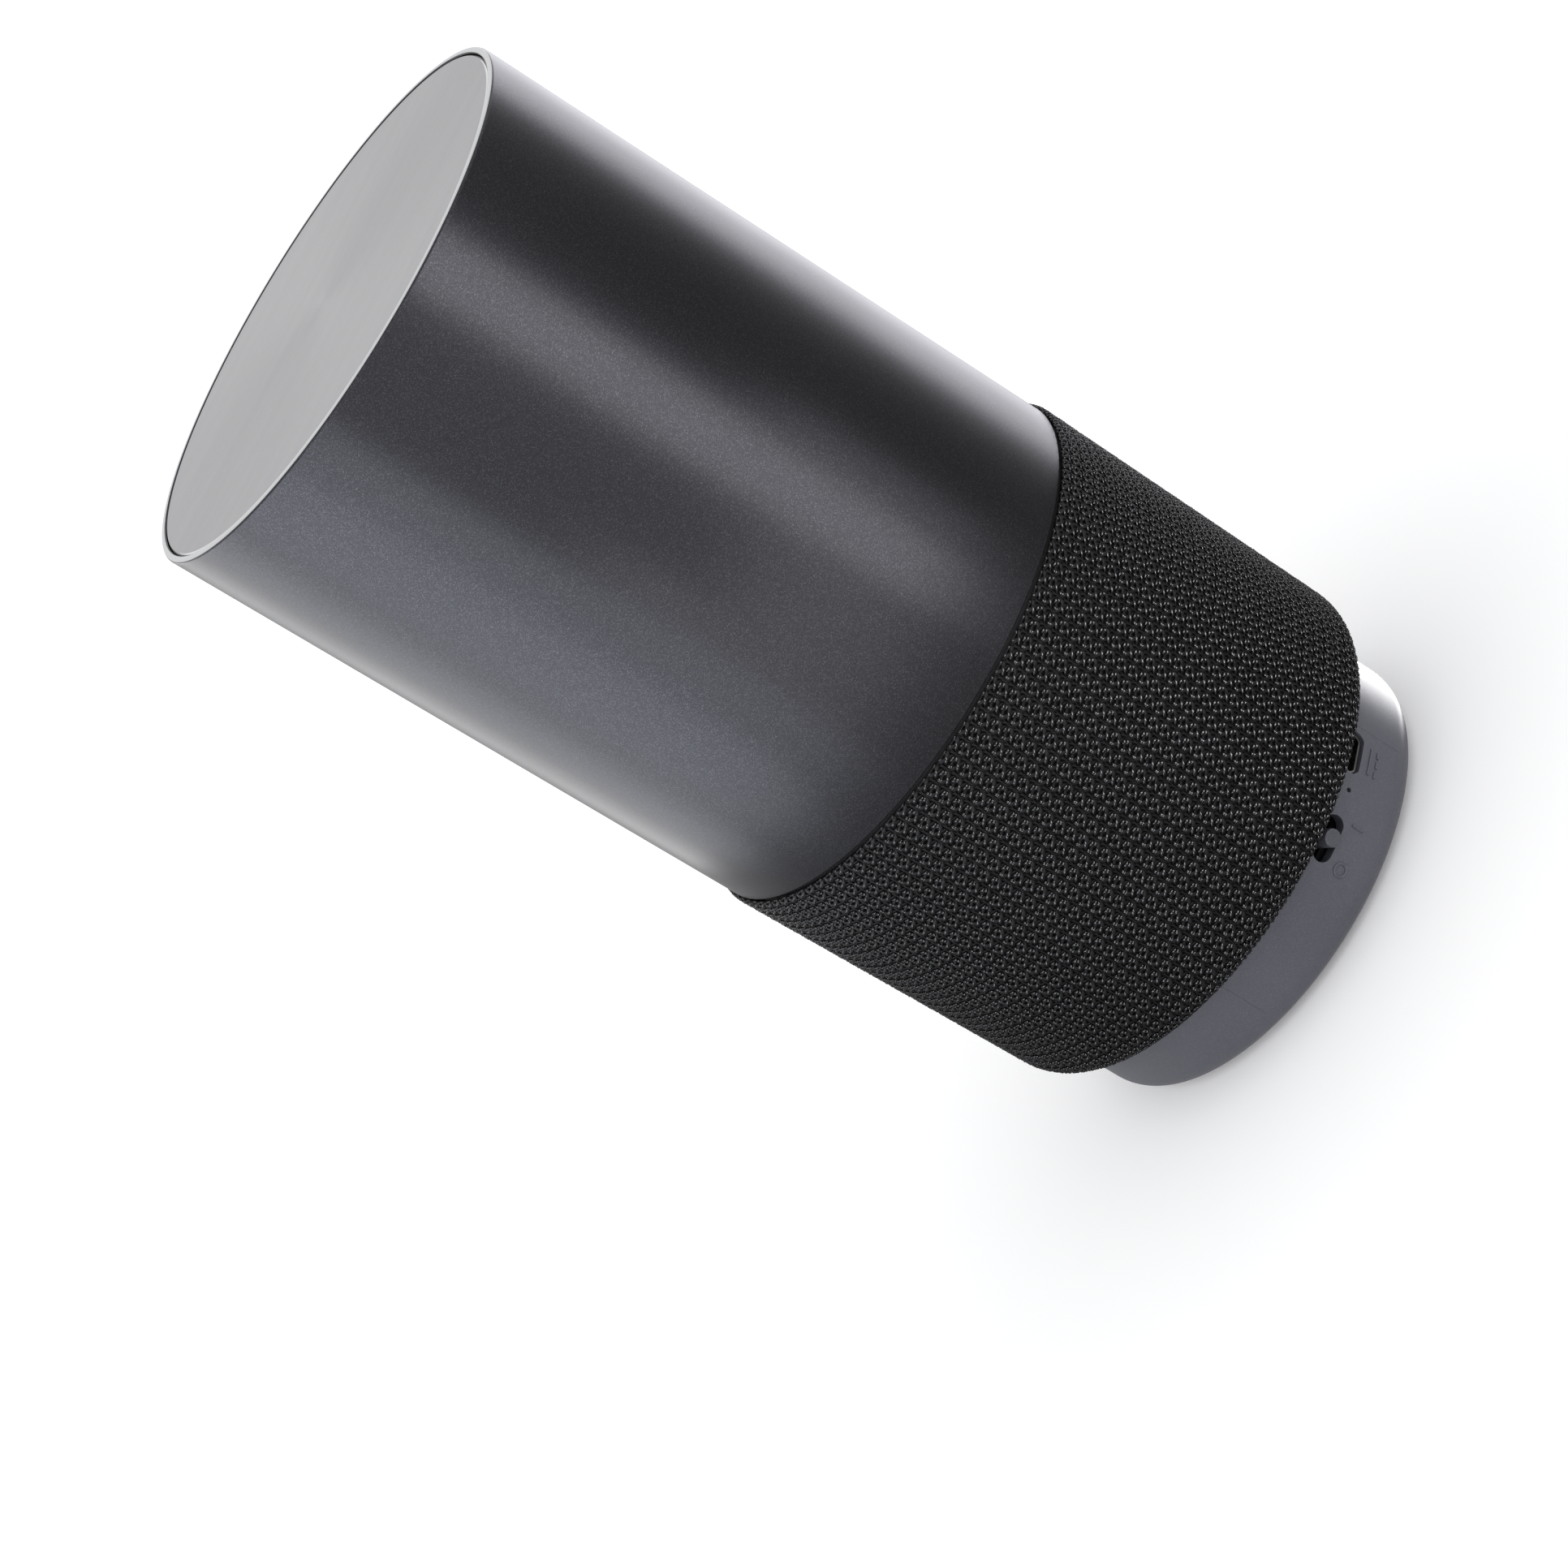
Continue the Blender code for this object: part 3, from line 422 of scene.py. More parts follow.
def circuit_board(name, colour):
    """Solder mask over copper tracks, which stand up under it a little."""
    look = Look(name)
    runs = look.pores(420.0, distance="MANHATTAN")
    tracks = look.between(runs, 0.0, 1.0, 0.30, 0.36)
    look.set(
        Base_Color=look.shade(tracks, colour, 1.9, 1.0, 0.0, 1.0),
        Roughness=look.between(tracks, 0.26, 0.36),
        Normal=look.bump(tracks, 0.4, 0.00004),
    )
    return look.made


# A finish for each of the record's slots that a CAD node shows: its kind and its values
INNER_LOOKS = {
    "black_plastic": (moulded, (0.020, 0.020, 0.022), 0.55),
    "white_plastic": (moulded, (0.72, 0.71, 0.66), 0.45, 0.05),
    "smoked_plastic": (moulded, (0.030, 0.030, 0.033), 0.16, 0.2, 700.0, 0.000005),
    "screw_steel": (metal, (0.42, 0.42, 0.43), 0.32, (1.0, 1.0, 6.0)),
    "can_steel": (metal, (0.50, 0.50, 0.51), 0.28, (1.0, 20.0, 1.0)),
    "basket_steel": (moulded, (0.030, 0.030, 0.032), 0.34, 0.15, 800.0, 0.00001),
    # The port's steel is darker than the other steels: partly its own tone, partly painted shade for the
    # inside of the port.
    "port_steel": (metal, (0.30, 0.29, 0.28), 0.30, (1.0, 1.0, 12.0)),
    "contact_brass": (metal, (0.70, 0.55, 0.30), 0.32, (20.0, 1.0, 1.0)),
    "ferrite": (moulded, (0.035, 0.035, 0.037), 0.6, 0.3, 500.0, 0.00004),
    "copper_winding": (wound, (0.62, 0.27, 0.13), 0.00022),
    "cone_paper": (fibrous, (0.026, 0.026, 0.028), 0.82, 700.0, 0.00006),
    "surround_rubber": (moulded, (0.018, 0.018, 0.019), 0.6, 0.1),
    "foot_rubber": (moulded, (0.018, 0.018, 0.019), 0.75, 0.2, 900.0, 0.00005),
    "gasket_foam": (foam, (0.030, 0.030, 0.030)),
    "spider_cloth": (woven, (0.50, 0.32, 0.10), 1600.0),
    "solder_mask": (circuit_board, (0.010, 0.011, 0.012)),
    "chip_epoxy": (moulded, (0.020, 0.020, 0.022), 0.5, 0.15, 2600.0),
    "cell_wrap": (moulded, (0.030, 0.120, 0.300), 0.26, 0.06, 250.0, 0.00002),
    "red_lead": (moulded, (0.45, 0.02, 0.02), 0.42, 0.08, 500.0, 0.00001),
    "grey_lead": (moulded, (0.16, 0.16, 0.17), 0.42, 0.08, 500.0, 0.00001),
}


# ---- shapes


def arc(centre, radius, start, end, points):
    """Points along a circle in an outline, from one angle to another, in degrees."""
    angles = [radians(start + (end - start) * i / (points - 1)) for i in range(points)]
    return [(centre[0] + radius * cos(a), centre[1] + radius * sin(a)) for a in angles]


def in_scene(name, data):
    """A new object in the scene that shows this mesh, curve, light or camera."""
    placed = bpy.data.objects.new(name, data)
    bpy.context.scene.collection.objects.link(placed)
    return placed


def mesh_object(name, vertices, faces, looks, face_looks=None):
    mesh = bpy.data.meshes.new(name)
    mesh.from_pydata(vertices, [], faces)
    for look in looks:
        mesh.materials.append(look)
    if face_looks is not None:
        mesh.polygons.foreach_set("material_index", face_looks)
    mesh.update()
    return in_scene(name, mesh)


def built(name, bm, look):
    """The object for a mesh that bmesh has built."""
    mesh = bpy.data.meshes.new(name)
    bm.to_mesh(mesh)
    bm.free()
    mesh.materials.append(look)
    return in_scene(name, mesh)


def smooth(piece):
    piece.data.shade_smooth()
    piece.data.set_sharp_from_angle(angle=radians(32.0))
    return piece


def lathe(name, outline, looks, segments=256, look_at=None, closed=True):
    """A solid of revolution from an outline of (radius, z) in millimetres.

    An open outline that starts and ends on the axis closes there. look_at(radius, z) picks the
    material of the ring of faces whose middle is there.
    """
    area = sum(a[0] * b[1] - b[0] * a[1] for a, b in zip(outline, outline[1:] + outline[:1]))
    points = np.array(outline if area > 0 else outline[::-1])
    turns = np.arange(segments) * 2 * pi / segments
    on_axis = points[:, 0] < 1e-6
    count = len(points)
    rings, vertices = [], []
    for (r, z), at_middle in zip(points, on_axis):
        number = len(vertices)
        if at_middle:
            rings.append([number] * segments)
            vertices.append((0.0, 0.0, z * MM))
        else:
            rings.append(range(number, number + segments))
            vertices += [(r * MM * cos(t), r * MM * sin(t), z * MM) for t in turns]
    faces, chosen = [], []
    for i in range(count if closed else count - 1):
        j = (i + 1) % count
        if on_axis[i] and on_axis[j]:
            continue
        middle = (points[i] + points[j]) / 2
        look = look_at(*middle) if look_at else 0
        for k in range(segments):
            m = (k + 1) % segments
            corners = [rings[i][k], rings[i][m], rings[j][m], rings[j][k]]
            faces.append(list(dict.fromkeys(corners)))
            chosen.append(look)
    return smooth(mesh_object(name, vertices, faces, looks, chosen))


def thickened(line, thickness):
    """The closed outline of a thin wall around a line of (radius, z) points."""
    points = np.array(line)
    along = np.gradient(points, axis=0)
    along /= np.linalg.norm(along, axis=1)[:, None]
    across = np.stack([-along[:, 1], along[:, 0]], axis=1) * thickness / 2
    return [tuple(p) for p in points + across] + [tuple(p) for p in (points - across)[::-1]]


def on_side(angle, radius, z):
    """Turned by an angle about the axis, then out by a radius: local +X points outwards."""
    turn = Matrix.Rotation(radians(angle), 4, "Z")
    return turn @ Matrix.Translation((radius * MM, 0.0, z * MM))


def prism(name, outline, depth, where, look):
    """An outline of (y, z) in millimetres, pushed out along the matrix's X and centred on it."""
    bm = bmesh.new()
    flat = [bm.verts.new((-depth / 2 * MM, y * MM, z * MM)) for y, z in outline]
    face = bm.faces.new(flat)
    pushed = bmesh.ops.extrude_face_region(bm, geom=[face])
    moved = [v for v in pushed["geom"] if isinstance(v, bmesh.types.BMVert)]
    bmesh.ops.translate(bm, verts=moved, vec=(depth * MM, 0.0, 0.0))
    bmesh.ops.recalc_face_normals(bm, faces=bm.faces)
    piece = built(name, bm, look)
    piece.matrix_world = where
    return piece


def blocks(name, look, sizes_and_places, bevel):
    """One mesh of boxes with softened edges, each (size in millimetres, matrix)."""
    bm = bmesh.new()
    for size, where in sizes_and_places:
        scale = Matrix.Diagonal((*(side * MM for side in size), 1.0))
        bmesh.ops.create_cube(bm, size=1.0, matrix=where @ scale)
    bmesh.ops.bevel(bm, geom=bm.edges[:], offset=bevel * MM, segments=2, affect="EDGES")
    return smooth(built(name, bm, look))


def raised_lines(name, runs, thickness, sunk, look):
    """Round-topped lines on the base's wall. Each run is (closed, [(degrees, z), ...])."""
    curve = bpy.data.curves.new(name, "CURVE")
    curve.dimensions = "3D"
    curve.bevel_depth = thickness / 2 * MM
    curve.bevel_resolution = 3
    curve.use_fill_caps = True
    for closed, points in runs:
        run = curve.splines.new("POLY")
        run.points.add(len(points) - 1)
        for point, (angle, z) in zip(run.points, points):
            point.co = (*on_side(angle, BASE_RADIUS - sunk, z).translation, 1.0)
        run.use_cyclic_u = closed
    curve.materials.append(look)
    return in_scene(name, curve)


def settle(piece):
    """Turns the piece's modifiers into its mesh."""
    bpy.context.view_layer.update()
    graph = bpy.context.evaluated_depsgraph_get()
    mesh = bpy.data.meshes.new_from_object(piece.evaluated_get(graph))
    piece.modifiers.clear()
    piece.data = mesh
    mesh.name = piece.name
    smooth(piece)


def cut(piece, *cutters):
    for cutter in cutters:
        step = piece.modifiers.new(cutter.name, "BOOLEAN")
        step.operation = "DIFFERENCE"
        step.object = cutter
        step.solver = "EXACT"
        settle(piece)
        bpy.data.objects.remove(cutter)


def stadium(length, height, points=17):
    end = (length - height) / 2
    right = arc((end, 0.0), height / 2, -90.0, 90.0, points)
    return right + arc((-end, 0.0), height / 2, 90.0, 270.0, points)


def rounded(points, radius, steps=4):
    """An outline of straight sides with its corners rounded."""
    out = []
    for i, corner in enumerate(points):
        here = Vector(corner)
        back, ahead = (Vector(points[k % len(points)]) - here for k in (i - 1, i + 1))
        reach = min(radius, back.length / 2.2, ahead.length / 2.2)
        start, end = here + back.normalized() * reach, here + ahead.normalized() * reach
        for k in range(steps + 1):
            t = k / steps
            out.append(tuple(start * (1 - t) ** 2 + here * 2 * t * (1 - t) + end * t**2))
    return out


def port_outline(width, height, chamfer, radius=0.25):
    """The outline of a micro connector: square above, with its two lower corners cut off."""
    w, h = width / 2, height / 2
    corners = [(-w, h), (-w, chamfer - h), (chamfer - w, -h)]
    corners += [(-y, z) for y, z in corners[::-1]]
    return rounded(corners, radius)


# ---- the outer shell and the disc


def upper_shell():
    """The painted tube, whose rim is bare metal."""
    inner = SHELL_RADIUS - SHELL_WALL
    lip = DISC_RADIUS + DISC_GAP
    outer_round, inner_round = 0.5, 0.12
    rim_start = TOP - outer_round
    foot = 0.22
    bare_depth = 0.1
    outline = [(inner, DISC_BOTTOM - 0.4), (lip, DISC_BOTTOM - 0.2)]
    outline += arc((lip + inner_round, TOP - inner_round), inner_round, 180.0, 90.0, 5)
    outline += arc((SHELL_RADIUS - outer_round, rim_start), outer_round, 90.0, 0.0, 13)
    outline += [(SHELL_RADIUS, rim_start - 0.25)]
    outline += [(SHELL_RADIUS, SHELL_BOTTOM + foot)]
    outline += arc((SHELL_RADIUS - foot, SHELL_BOTTOM + foot), foot, 0.0, -90.0, 5)[1:]
    outline += [(inner, SHELL_BOTTOM)]
    looks = [shell_paint(), turned_metal("shell_edge", 0.50, 0.30)]

    def look_at(r, z):
        return 1 if z > TOP - bare_depth and r > lip + bare_depth else 0

    shell = lathe("shell_tube", outline, looks, 360, look_at)
    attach(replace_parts(shell, "upper_shell"), "speaker_body")


def top_disc():
    """The brushed disc with its turned bevel. Its face is meshed in rings."""
    bevel = 0.28
    rings = 6
    looks = [disc_metal(), turned_metal("disc_edge", 0.62, 0.20)]
    outline = [(DISC_RADIUS * i / rings, DISC_TOP) for i in range(rings)]
    outline += [(DISC_RADIUS - bevel, DISC_TOP), (DISC_RADIUS, DISC_TOP - bevel)]
    outline += [(DISC_RADIUS, DISC_BOTTOM), (0.0, DISC_BOTTOM)]

    def look_at(r, z):
        return 1 if r > DISC_RADIUS - bevel else 0

    disc = lathe("touch_disc", outline, looks, 360, look_at, closed=False)
    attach(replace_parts(disc, "top_disc"), "speaker_body")


# ---- the knitted sleeve


class SleeveLine:
    """The sleeve's outer line, from its tucked upper edge down round its lower corner."""

    def __init__(self):
        tuck, tuck_turn = 0.75, 115.0
        top = Vector((SLEEVE_RADIUS - tuck, SLEEVE_TOP - tuck))
        low = Vector((SLEEVE_RADIUS_LOW - SLEEVE_CORNER, SLEEVE_BOTTOM + SLEEVE_CORNER))
        stop = -degrees(acos((SLEEVE_END_RADIUS - low.x) / SLEEVE_CORNER))
        line = arc(top, tuck, tuck_turn, 0.0, 24)
        line += [(SLEEVE_RADIUS_LOW, low.y)]
        line += arc(low, SLEEVE_CORNER, 0.0, stop, 60)[1:]
        self.points = np.array(line)
        steps = np.linalg.norm(np.diff(self.points, axis=0), axis=1)
        self.reach = np.concatenate([[0.0], np.cumsum(steps)])
        self.length = self.reach[-1]
        tangent = np.gradient(self.points, self.reach, axis=0)
        tangent /= np.linalg.norm(tangent, axis=1)[:, None]
        self.normals = np.stack([-tangent[:, 1], tangent[:, 0]], axis=1)

    def wrap(self, flat):
        """(across, down, out) in millimetres to a place on the sleeve in metres."""
        across, down, out = flat[..., 0], flat[..., 1], flat[..., 2]
        line = np.hstack([self.points, self.normals]).T
        r, z, normal_r, normal_z = (np.interp(down, self.reach, values) for values in line)
        r, z = r + out * normal_r, z + out * normal_z
        turn = across * 2 * pi / (COLUMNS * PITCH)
        return np.stack([r * np.cos(turn), r * np.sin(turn), z], axis=-1) * MM


SLEEVE = SleeveLine()
PITCH = 2 * pi * SLEEVE_RADIUS / COLUMNS
ROW = SLEEVE.length / ROWS


def tubes(name, paths, width, height, sides, look):
    """Closed flat-oval tubes along paths, an array of (tube, point, across/down/out).

    The yarn swells where it lies on top and is drawn thin where it dives. Its map runs along it.
    """
    dive, dived, swollen, tip = -0.5, 0.62, 1.15, 0.6
    count, points, _ = paths.shape
    along = np.gradient(paths, axis=1)
    along /= np.linalg.norm(along, axis=2)[..., None]
    up = np.zeros_like(along)
    up[..., 2] = 1.0
    up -= (up * along).sum(2)[..., None] * along
    up /= np.linalg.norm(up, axis=2)[..., None]
    side = np.cross(up, along)
    angles = (np.arange(sides) + 0.5) * 2 * pi / sides
    ring = (
        side[:, :, None] * np.cos(angles)[:, None] * width / 2
        + up[:, :, None] * np.sin(angles)[:, None] * height / 2
    )
    swell = np.interp(paths[..., 2], (dive, 0.0), (dived, swollen))
    swell[:, [0, -1]] *= tip
    vertices = SLEEVE.wrap(paths[:, :, None] + ring * swell[..., None, None]).reshape(-1, 3)
    first = (np.arange(count) * points * sides)[:, None, None]
    here = first + np.arange(points - 1)[None, :, None] * sides
    ahead = here + sides
    k = np.arange(sides)[None, None, :]
    m = (k + 1) % sides
    quads = np.stack([here + k, ahead + k, ahead + m, here + m], axis=-1).reshape(-1, 4)
    round_end = np.arange(sides)[None, :]
    last = first[:, 0] + (points - 1) * sides
    caps = np.concatenate([first[:, 0] + round_end, last + round_end[:, ::-1]])

    mesh = bpy.data.meshes.new(name)
    corners = np.concatenate([quads.ravel(), caps.ravel()])
    starts = [np.arange(len(quads)) * 4, quads.size + np.arange(len(caps)) * sides]
    mesh.vertices.add(len(vertices))
    mesh.vertices.foreach_set("co", vertices.astype(np.float32).ravel())
    mesh.loops.add(len(corners))
    mesh.loops.foreach_set("vertex_index", corners.astype(np.int32))
    mesh.polygons.add(len(quads) + len(caps))
    mesh.polygons.foreach_set("loop_start", np.concatenate(starts).astype(np.int32))

    reach = np.linalg.norm(np.diff(paths, axis=1), axis=2).cumsum(1)
    reach = np.concatenate([np.zeros((count, 1)), reach], axis=1)
    near, far = reach[:, :-1], reach[:, 1:]
    u = np.stack([near, far, far, near], axis=-1)[:, :, None, :]
    v = np.stack([k, k, k + 1, k + 1], axis=-1) / sides
    flat_map = np.zeros((len(corners), 2), np.float32)
    for column, values in enumerate((u, v)):
        flat_map[: quads.size, column] = np.broadcast_to(values, (count, points - 1, sides, 4)).ravel()
    mesh.uv_layers.new(name="UVMap").data.foreach_set("uv", flat_map.ravel())
    mesh.materials.append(look)
    mesh.update(calc_edges=True)
    mesh.validate()
    mesh.shade_smooth()
    return in_scene(name, mesh)


def softened(paths, steps):
    """Catmull-Rom points between a path's own."""
    before, after = 2 * paths[:, :1] - paths[:, 1:2], 2 * paths[:, -1:] - paths[:, -2:-1]
    padded = np.concatenate([before, paths, after], axis=1)
    a, b, c, d = (padded[:, i : padded.shape[1] - 3 + i] for i in range(4))
    square, cube = 2 * a - 5 * b + 4 * c - d, 3 * b - a - 3 * c + d
    shares = [i / steps for i in range(steps)]
    made = [0.5 * (2 * b + (c - a) * t + square * t**2 + cube * t**3) for t in shares]
    fine = np.stack(made, axis=2).reshape(len(paths), -1, 3)
    return np.concatenate([fine, paths[:, -1:]], axis=1)


# The yarns of one cell as (across, down, out). Across is a share of half a column, towards the
# yarn's own side, and down is in millimetres from the row's line.
ZIGZAG = [(0.80, -0.62, -0.50), (0.72, -0.08, -0.18), (0.42, 0.34, -0.02), (0.06, 0.68, -0.28)]
ZIGZAG += [(-0.40, 1.00, -0.24), (-0.78, 1.32, -0.52)]
ARCH = [(-0.90, 0.24, -0.54), (-0.66, 0.00, -0.26), (-0.30, -0.34, -0.16), (0.0, -0.46, -0.30)]
ARCH += [(-across, down, out) for across, down, out in ARCH[2::-1]]
CHAIN = [(0.0, 0.0, -0.26), (0.105, 0.46, -0.30), (0.0, 0.87, -0.26)]
CHAIN += [(-0.16, 1.40, -0.30), (-0.08, 1.88, -0.28)]

# Loops that stand proud in each cell, from one end to the other: (across, down) in millimetres
LOOPS = [((0.70, -0.88), (0.08, -0.89)), ((0.86, -0.52), (0.49, -0.21))]
LOOPS += [((-0.70, -0.73), (-0.94, -0.38)), ((-0.61, -0.21), (-0.98, -0.19))]
LOOPS += [((0.08, 0.36), (-0.64, 0.86))]


def within(run, above, below):
    """The points of a long yarn, or the short yarns, that stay this far inside the sleeve's edges."""
    down = run[..., 1].reshape(len(run), -1)
    return run[(down.min(1) > above) & (down.max(1) < SLEEVE.length - below)]


def all_round(run, across=0.0):
    """A yarn or an array of yarns, repeated in every column."""
    paths = np.repeat(run[None], COLUMNS, axis=0)
    middles = (np.arange(COLUMNS) + 0.5) * PITCH + across
    paths[..., 0] += middles.reshape(-1, *[1] * (run.ndim - 1))
    return paths


def shaken(paths, amount, chance):
    """Paths that wander a little."""
    paths[..., :2] += chance.normal(0.0, amount, paths[..., :2].shape)
    paths[..., 2] += chance.normal(0.0, amount * 0.6, paths[..., 2].shape)
    return paths


def laps(look, chance):
    """Zigzag yarns that change sides from row to row, one pair in each column."""
    half = PITCH / 2
    pieces = []
    for number, first in enumerate((1, -1), 1):
        run = []
        for row in range(ROWS):
            side = first * (-1) ** row
            for i, (x, down, out) in enumerate(ZIGZAG):
                lift = 0.035 * first * side if 0 < i < 5 else 0.0
                run.append((side * x * half, (row + 0.5) * ROW + down, out + lift))
        paths = all_round(within(np.array(run), 0.1, 0.05))
        paths = softened(shaken(paths, 0.014, chance), 2)
        for share in (0, 1):
            name = f"sleeve_laps_{number + 2 * share}"
            pieces.append(tubes(name, paths[share::2], 0.64, 0.20, 5, look))
    return pieces


def glossy_loops(look, chance):
    """Short yarns that start and end a little under the surface and bow out between."""
    overshoot = 0.28
    rows = np.array([(0.0, (row + 0.5) * ROW, 0.0) for row in range(ROWS)])[:, None]
    pieces = []
    for number, (start, end) in enumerate(LOOPS, 1):
        start, end = np.array(start), np.array(end)
        reach = (end - start) * overshoot
        line = [(*(start - reach), -0.15), (*((start + end) / 2), 0.02), (*(end + reach), -0.13)]
        paths = all_round(within(np.array(line)[None] + rows, 0.3, 0.2))
        paths = shaken(paths.reshape(-1, 3, 3), 0.030, chance)
        pieces.append(tubes(f"sleeve_loops_{number}", paths, 0.42, 0.22, 6, look))
    return pieces


def arches(look, chance):
    """Yarns that arch over the zigzags in each cell."""
    half = PITCH / 2
    lines = [(row + 0.5) * ROW for row in range(ROWS)]
    runs = [[(x * half, line + down, out) for x, down, out in ARCH] for line in lines]
    paths = all_round(within(np.array(runs), 0.0, 0.0))
    paths = shaken(paths.reshape(-1, len(ARCH), 3), 0.014, chance)
    return [tubes(f"sleeve_arches_{1 + i}", paths[i::2], 0.60, 0.20, 5, look) for i in (0, 1)]


def chains(look, chance):
    """A pair of yarns that run down between the columns and twist round each other."""
    half = PITCH / 2
    pieces = []
    for number, side in enumerate((1, -1), 1):
        run = []
        for row in range(ROWS):
            for i, (x, down, out) in enumerate(CHAIN):
                twist = 0.05 * side * (-1) ** (i // 2) if x == 0.0 else 0.0
                run.append((side * x * half, row * ROW + down, out + twist))
        paths = shaken(all_round(within(np.array(run), 0.1, 0.05), -half), 0.006, chance)
        pieces.append(tubes(f"sleeve_chain_{number}", paths, 0.36, 0.16, 4, look))
    return pieces


def knit():
    """The yarns of the knitted sleeve: only the loops are glossy."""
    chance = np.random.RandomState(11)
    black = yarn("knit_yarn", (0.0105, 0.0105, 0.0120), 0.32)
    dull = yarn("knit_ground", (0.0105, 0.0103, 0.0115), 0.5)
    pieces = laps(dull, chance) + glossy_loops(black, chance)
    return pieces + arches(dull, chance) + chains(dull, chance)


def fabric_sleeve():
    """The ground cloth lies under the yarns and stands for the sheet."""
    kept = SLEEVE.reach < SLEEVE.length - 0.25
    points, normals = SLEEVE.points[kept], SLEEVE.normals[kept]
    outer, inner = (points - normals * depth for depth in (0.56, 0.80))
    outline = [tuple(point) for point in (*outer, *inner[::-1])]
    ground = lathe("sleeve_ground", outline, [ground_cloth()], 216)
    yarns = knit()
    for piece in yarns:
        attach(piece, "speaker_body")
    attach(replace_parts(ground, "fabric_sleeve"), "speaker_body")
    return yarns


# ---- base


def base_housing(look):
    """The hollow base, open below for its plate, with the port, the slot and the pin hole."""
    inner = BASE_RADIUS - BASE_WALL
    edge = 0.3
    ledge, ledge_width, ledge_rise = PLATE_TOP + GAP, 1.5, 3.5
    outline = [(0.0, DECK_TOP), (BASE_RADIUS - edge, DECK_TOP), (BASE_RADIUS, DECK_TOP - edge)]
    outline += arc((BASE_RADIUS - BASE_CORNER, BASE_BOTTOM + BASE_CORNER), BASE_CORNER, 0.0, -90.0, 17)
    outline += [
        (PLATE_RADIUS + GAP, BASE_BOTTOM),
        (PLATE_RADIUS + GAP, ledge),
        (PLATE_RADIUS - ledge_width, ledge),
        (inner, ledge + ledge_rise),
        (inner, DECK_TOP - BASE_WALL),
        (0.0, DECK_TOP - BASE_WALL),
    ]
    housing = lathe("base_shell", outline, [look], 360, closed=False)
    port = port_outline(PORT_WIDTH, PORT_HEIGHT, PORT_CHAMFER, 0.35)
    slot = stadium(SLOT_LENGTH, SLOT_HEIGHT)
    pin = arc((0.0, 0.0), PIN_HOLE_RADIUS, 0.0, 345.0, 24)
    cut(
        housing,
        prism("port_cutter", port, 6.0, on_side(PORT_ANGLE, BASE_RADIUS, PORT_Z), look),
        prism("slot_cutter", slot, 8.0, on_side(KNOB_ANGLE, BASE_RADIUS, KNOB.z), look),
        prism("pin_cutter", pin, 8.0, on_side(LIGHT_ANGLE, BASE_RADIUS, PIN_HOLE_Z), look),
    )
    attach(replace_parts(housing, "base_housing"), "speaker_body")


def power_knob(look):
    """The round knob, with a slightly dished face."""
    round_over, dish = 0.28, 0.06
    face, back = KNOB_FRONT, KNOB_BACK + BOARD_CLEARANCE
    outline = [(0.0, face - dish), (KNOB_RADIUS * 0.55, face - dish / 2)]
    outline += [(KNOB_RADIUS - round_over, face)]
    outline += arc((KNOB_RADIUS - round_over, face - round_over), round_over, 90.0, 0.0, 7)[1:]
    outline += [(KNOB_RADIUS, back), (0.0, back)]
    knob = lathe("switch_knob", outline, [look], 64, closed=False)
    lie_down = Matrix.Rotation(radians(90.0), 4, "X")
    knob.data.transform(Matrix.Translation((KNOB.x * MM, 0.0, KNOB.z * MM)) @ lie_down)
    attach(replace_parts(knob, "power_switch_knob"), "power_switch")


def panel_marks(look):
    """Generic raised marks: a bar for on, a ring for off, and the sign for direct current."""
    degree = degrees(1 / BASE_RADIUS)  # degrees round the base in a millimetre of its wall
    on_angle, off_angle, supply_angle = -84.35, -95.0, -67.1
    bar = [(on_angle, 8.0), (on_angle, 10.1)]
    ring = [(off_angle + x * degree, 8.85 + y) for x, y in arc((0.0, 0.0), 1.05, 0.0, 350.0, 36)]
    line = [(supply_angle + x * degree, 10.3) for x in np.linspace(-2.5, 2.5, 9)]
    runs = [(False, bar), (True, ring), (False, line)]
    for middle in (-1.9, 0.0, 1.9):
        dash = [(supply_angle + (middle + x) * degree, 9.0) for x in (-0.6, 0.0, 0.6)]
        runs.append((False, dash))
    marks = raised_lines("panel_marks", runs, 0.40, -0.08, look)
    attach(marks, "speaker_body")


def mould_lines(look):
    """The faint upright lines where the mould's side slides met."""
    low, high = BASE_BOTTOM + BASE_CORNER, DECK_TOP - 0.4
    lines = [(False, [(angle, low), (angle, high)]) for angle in (-59.0, -132.7)]
    witness = raised_lines("mould_lines", lines, 0.16, 0.02, look)
    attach(witness, "speaker_body")


def flange_band(look):
    """A dark tape round the chamber's flange, which covers its lead notch under the shell's edge."""
    clear, thickness = 0.12, 0.21
    outer = SHELL_RADIUS - SHELL_WALL - clear
    inner = outer - thickness
    low, high = SHELL_BOTTOM - 1.1, SHELL_BOTTOM + 1.0
    band = lathe("flange_band", [(inner, low), (outer, low), (outer, high), (inner, high)], [look])
    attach(band, "speaker_body")


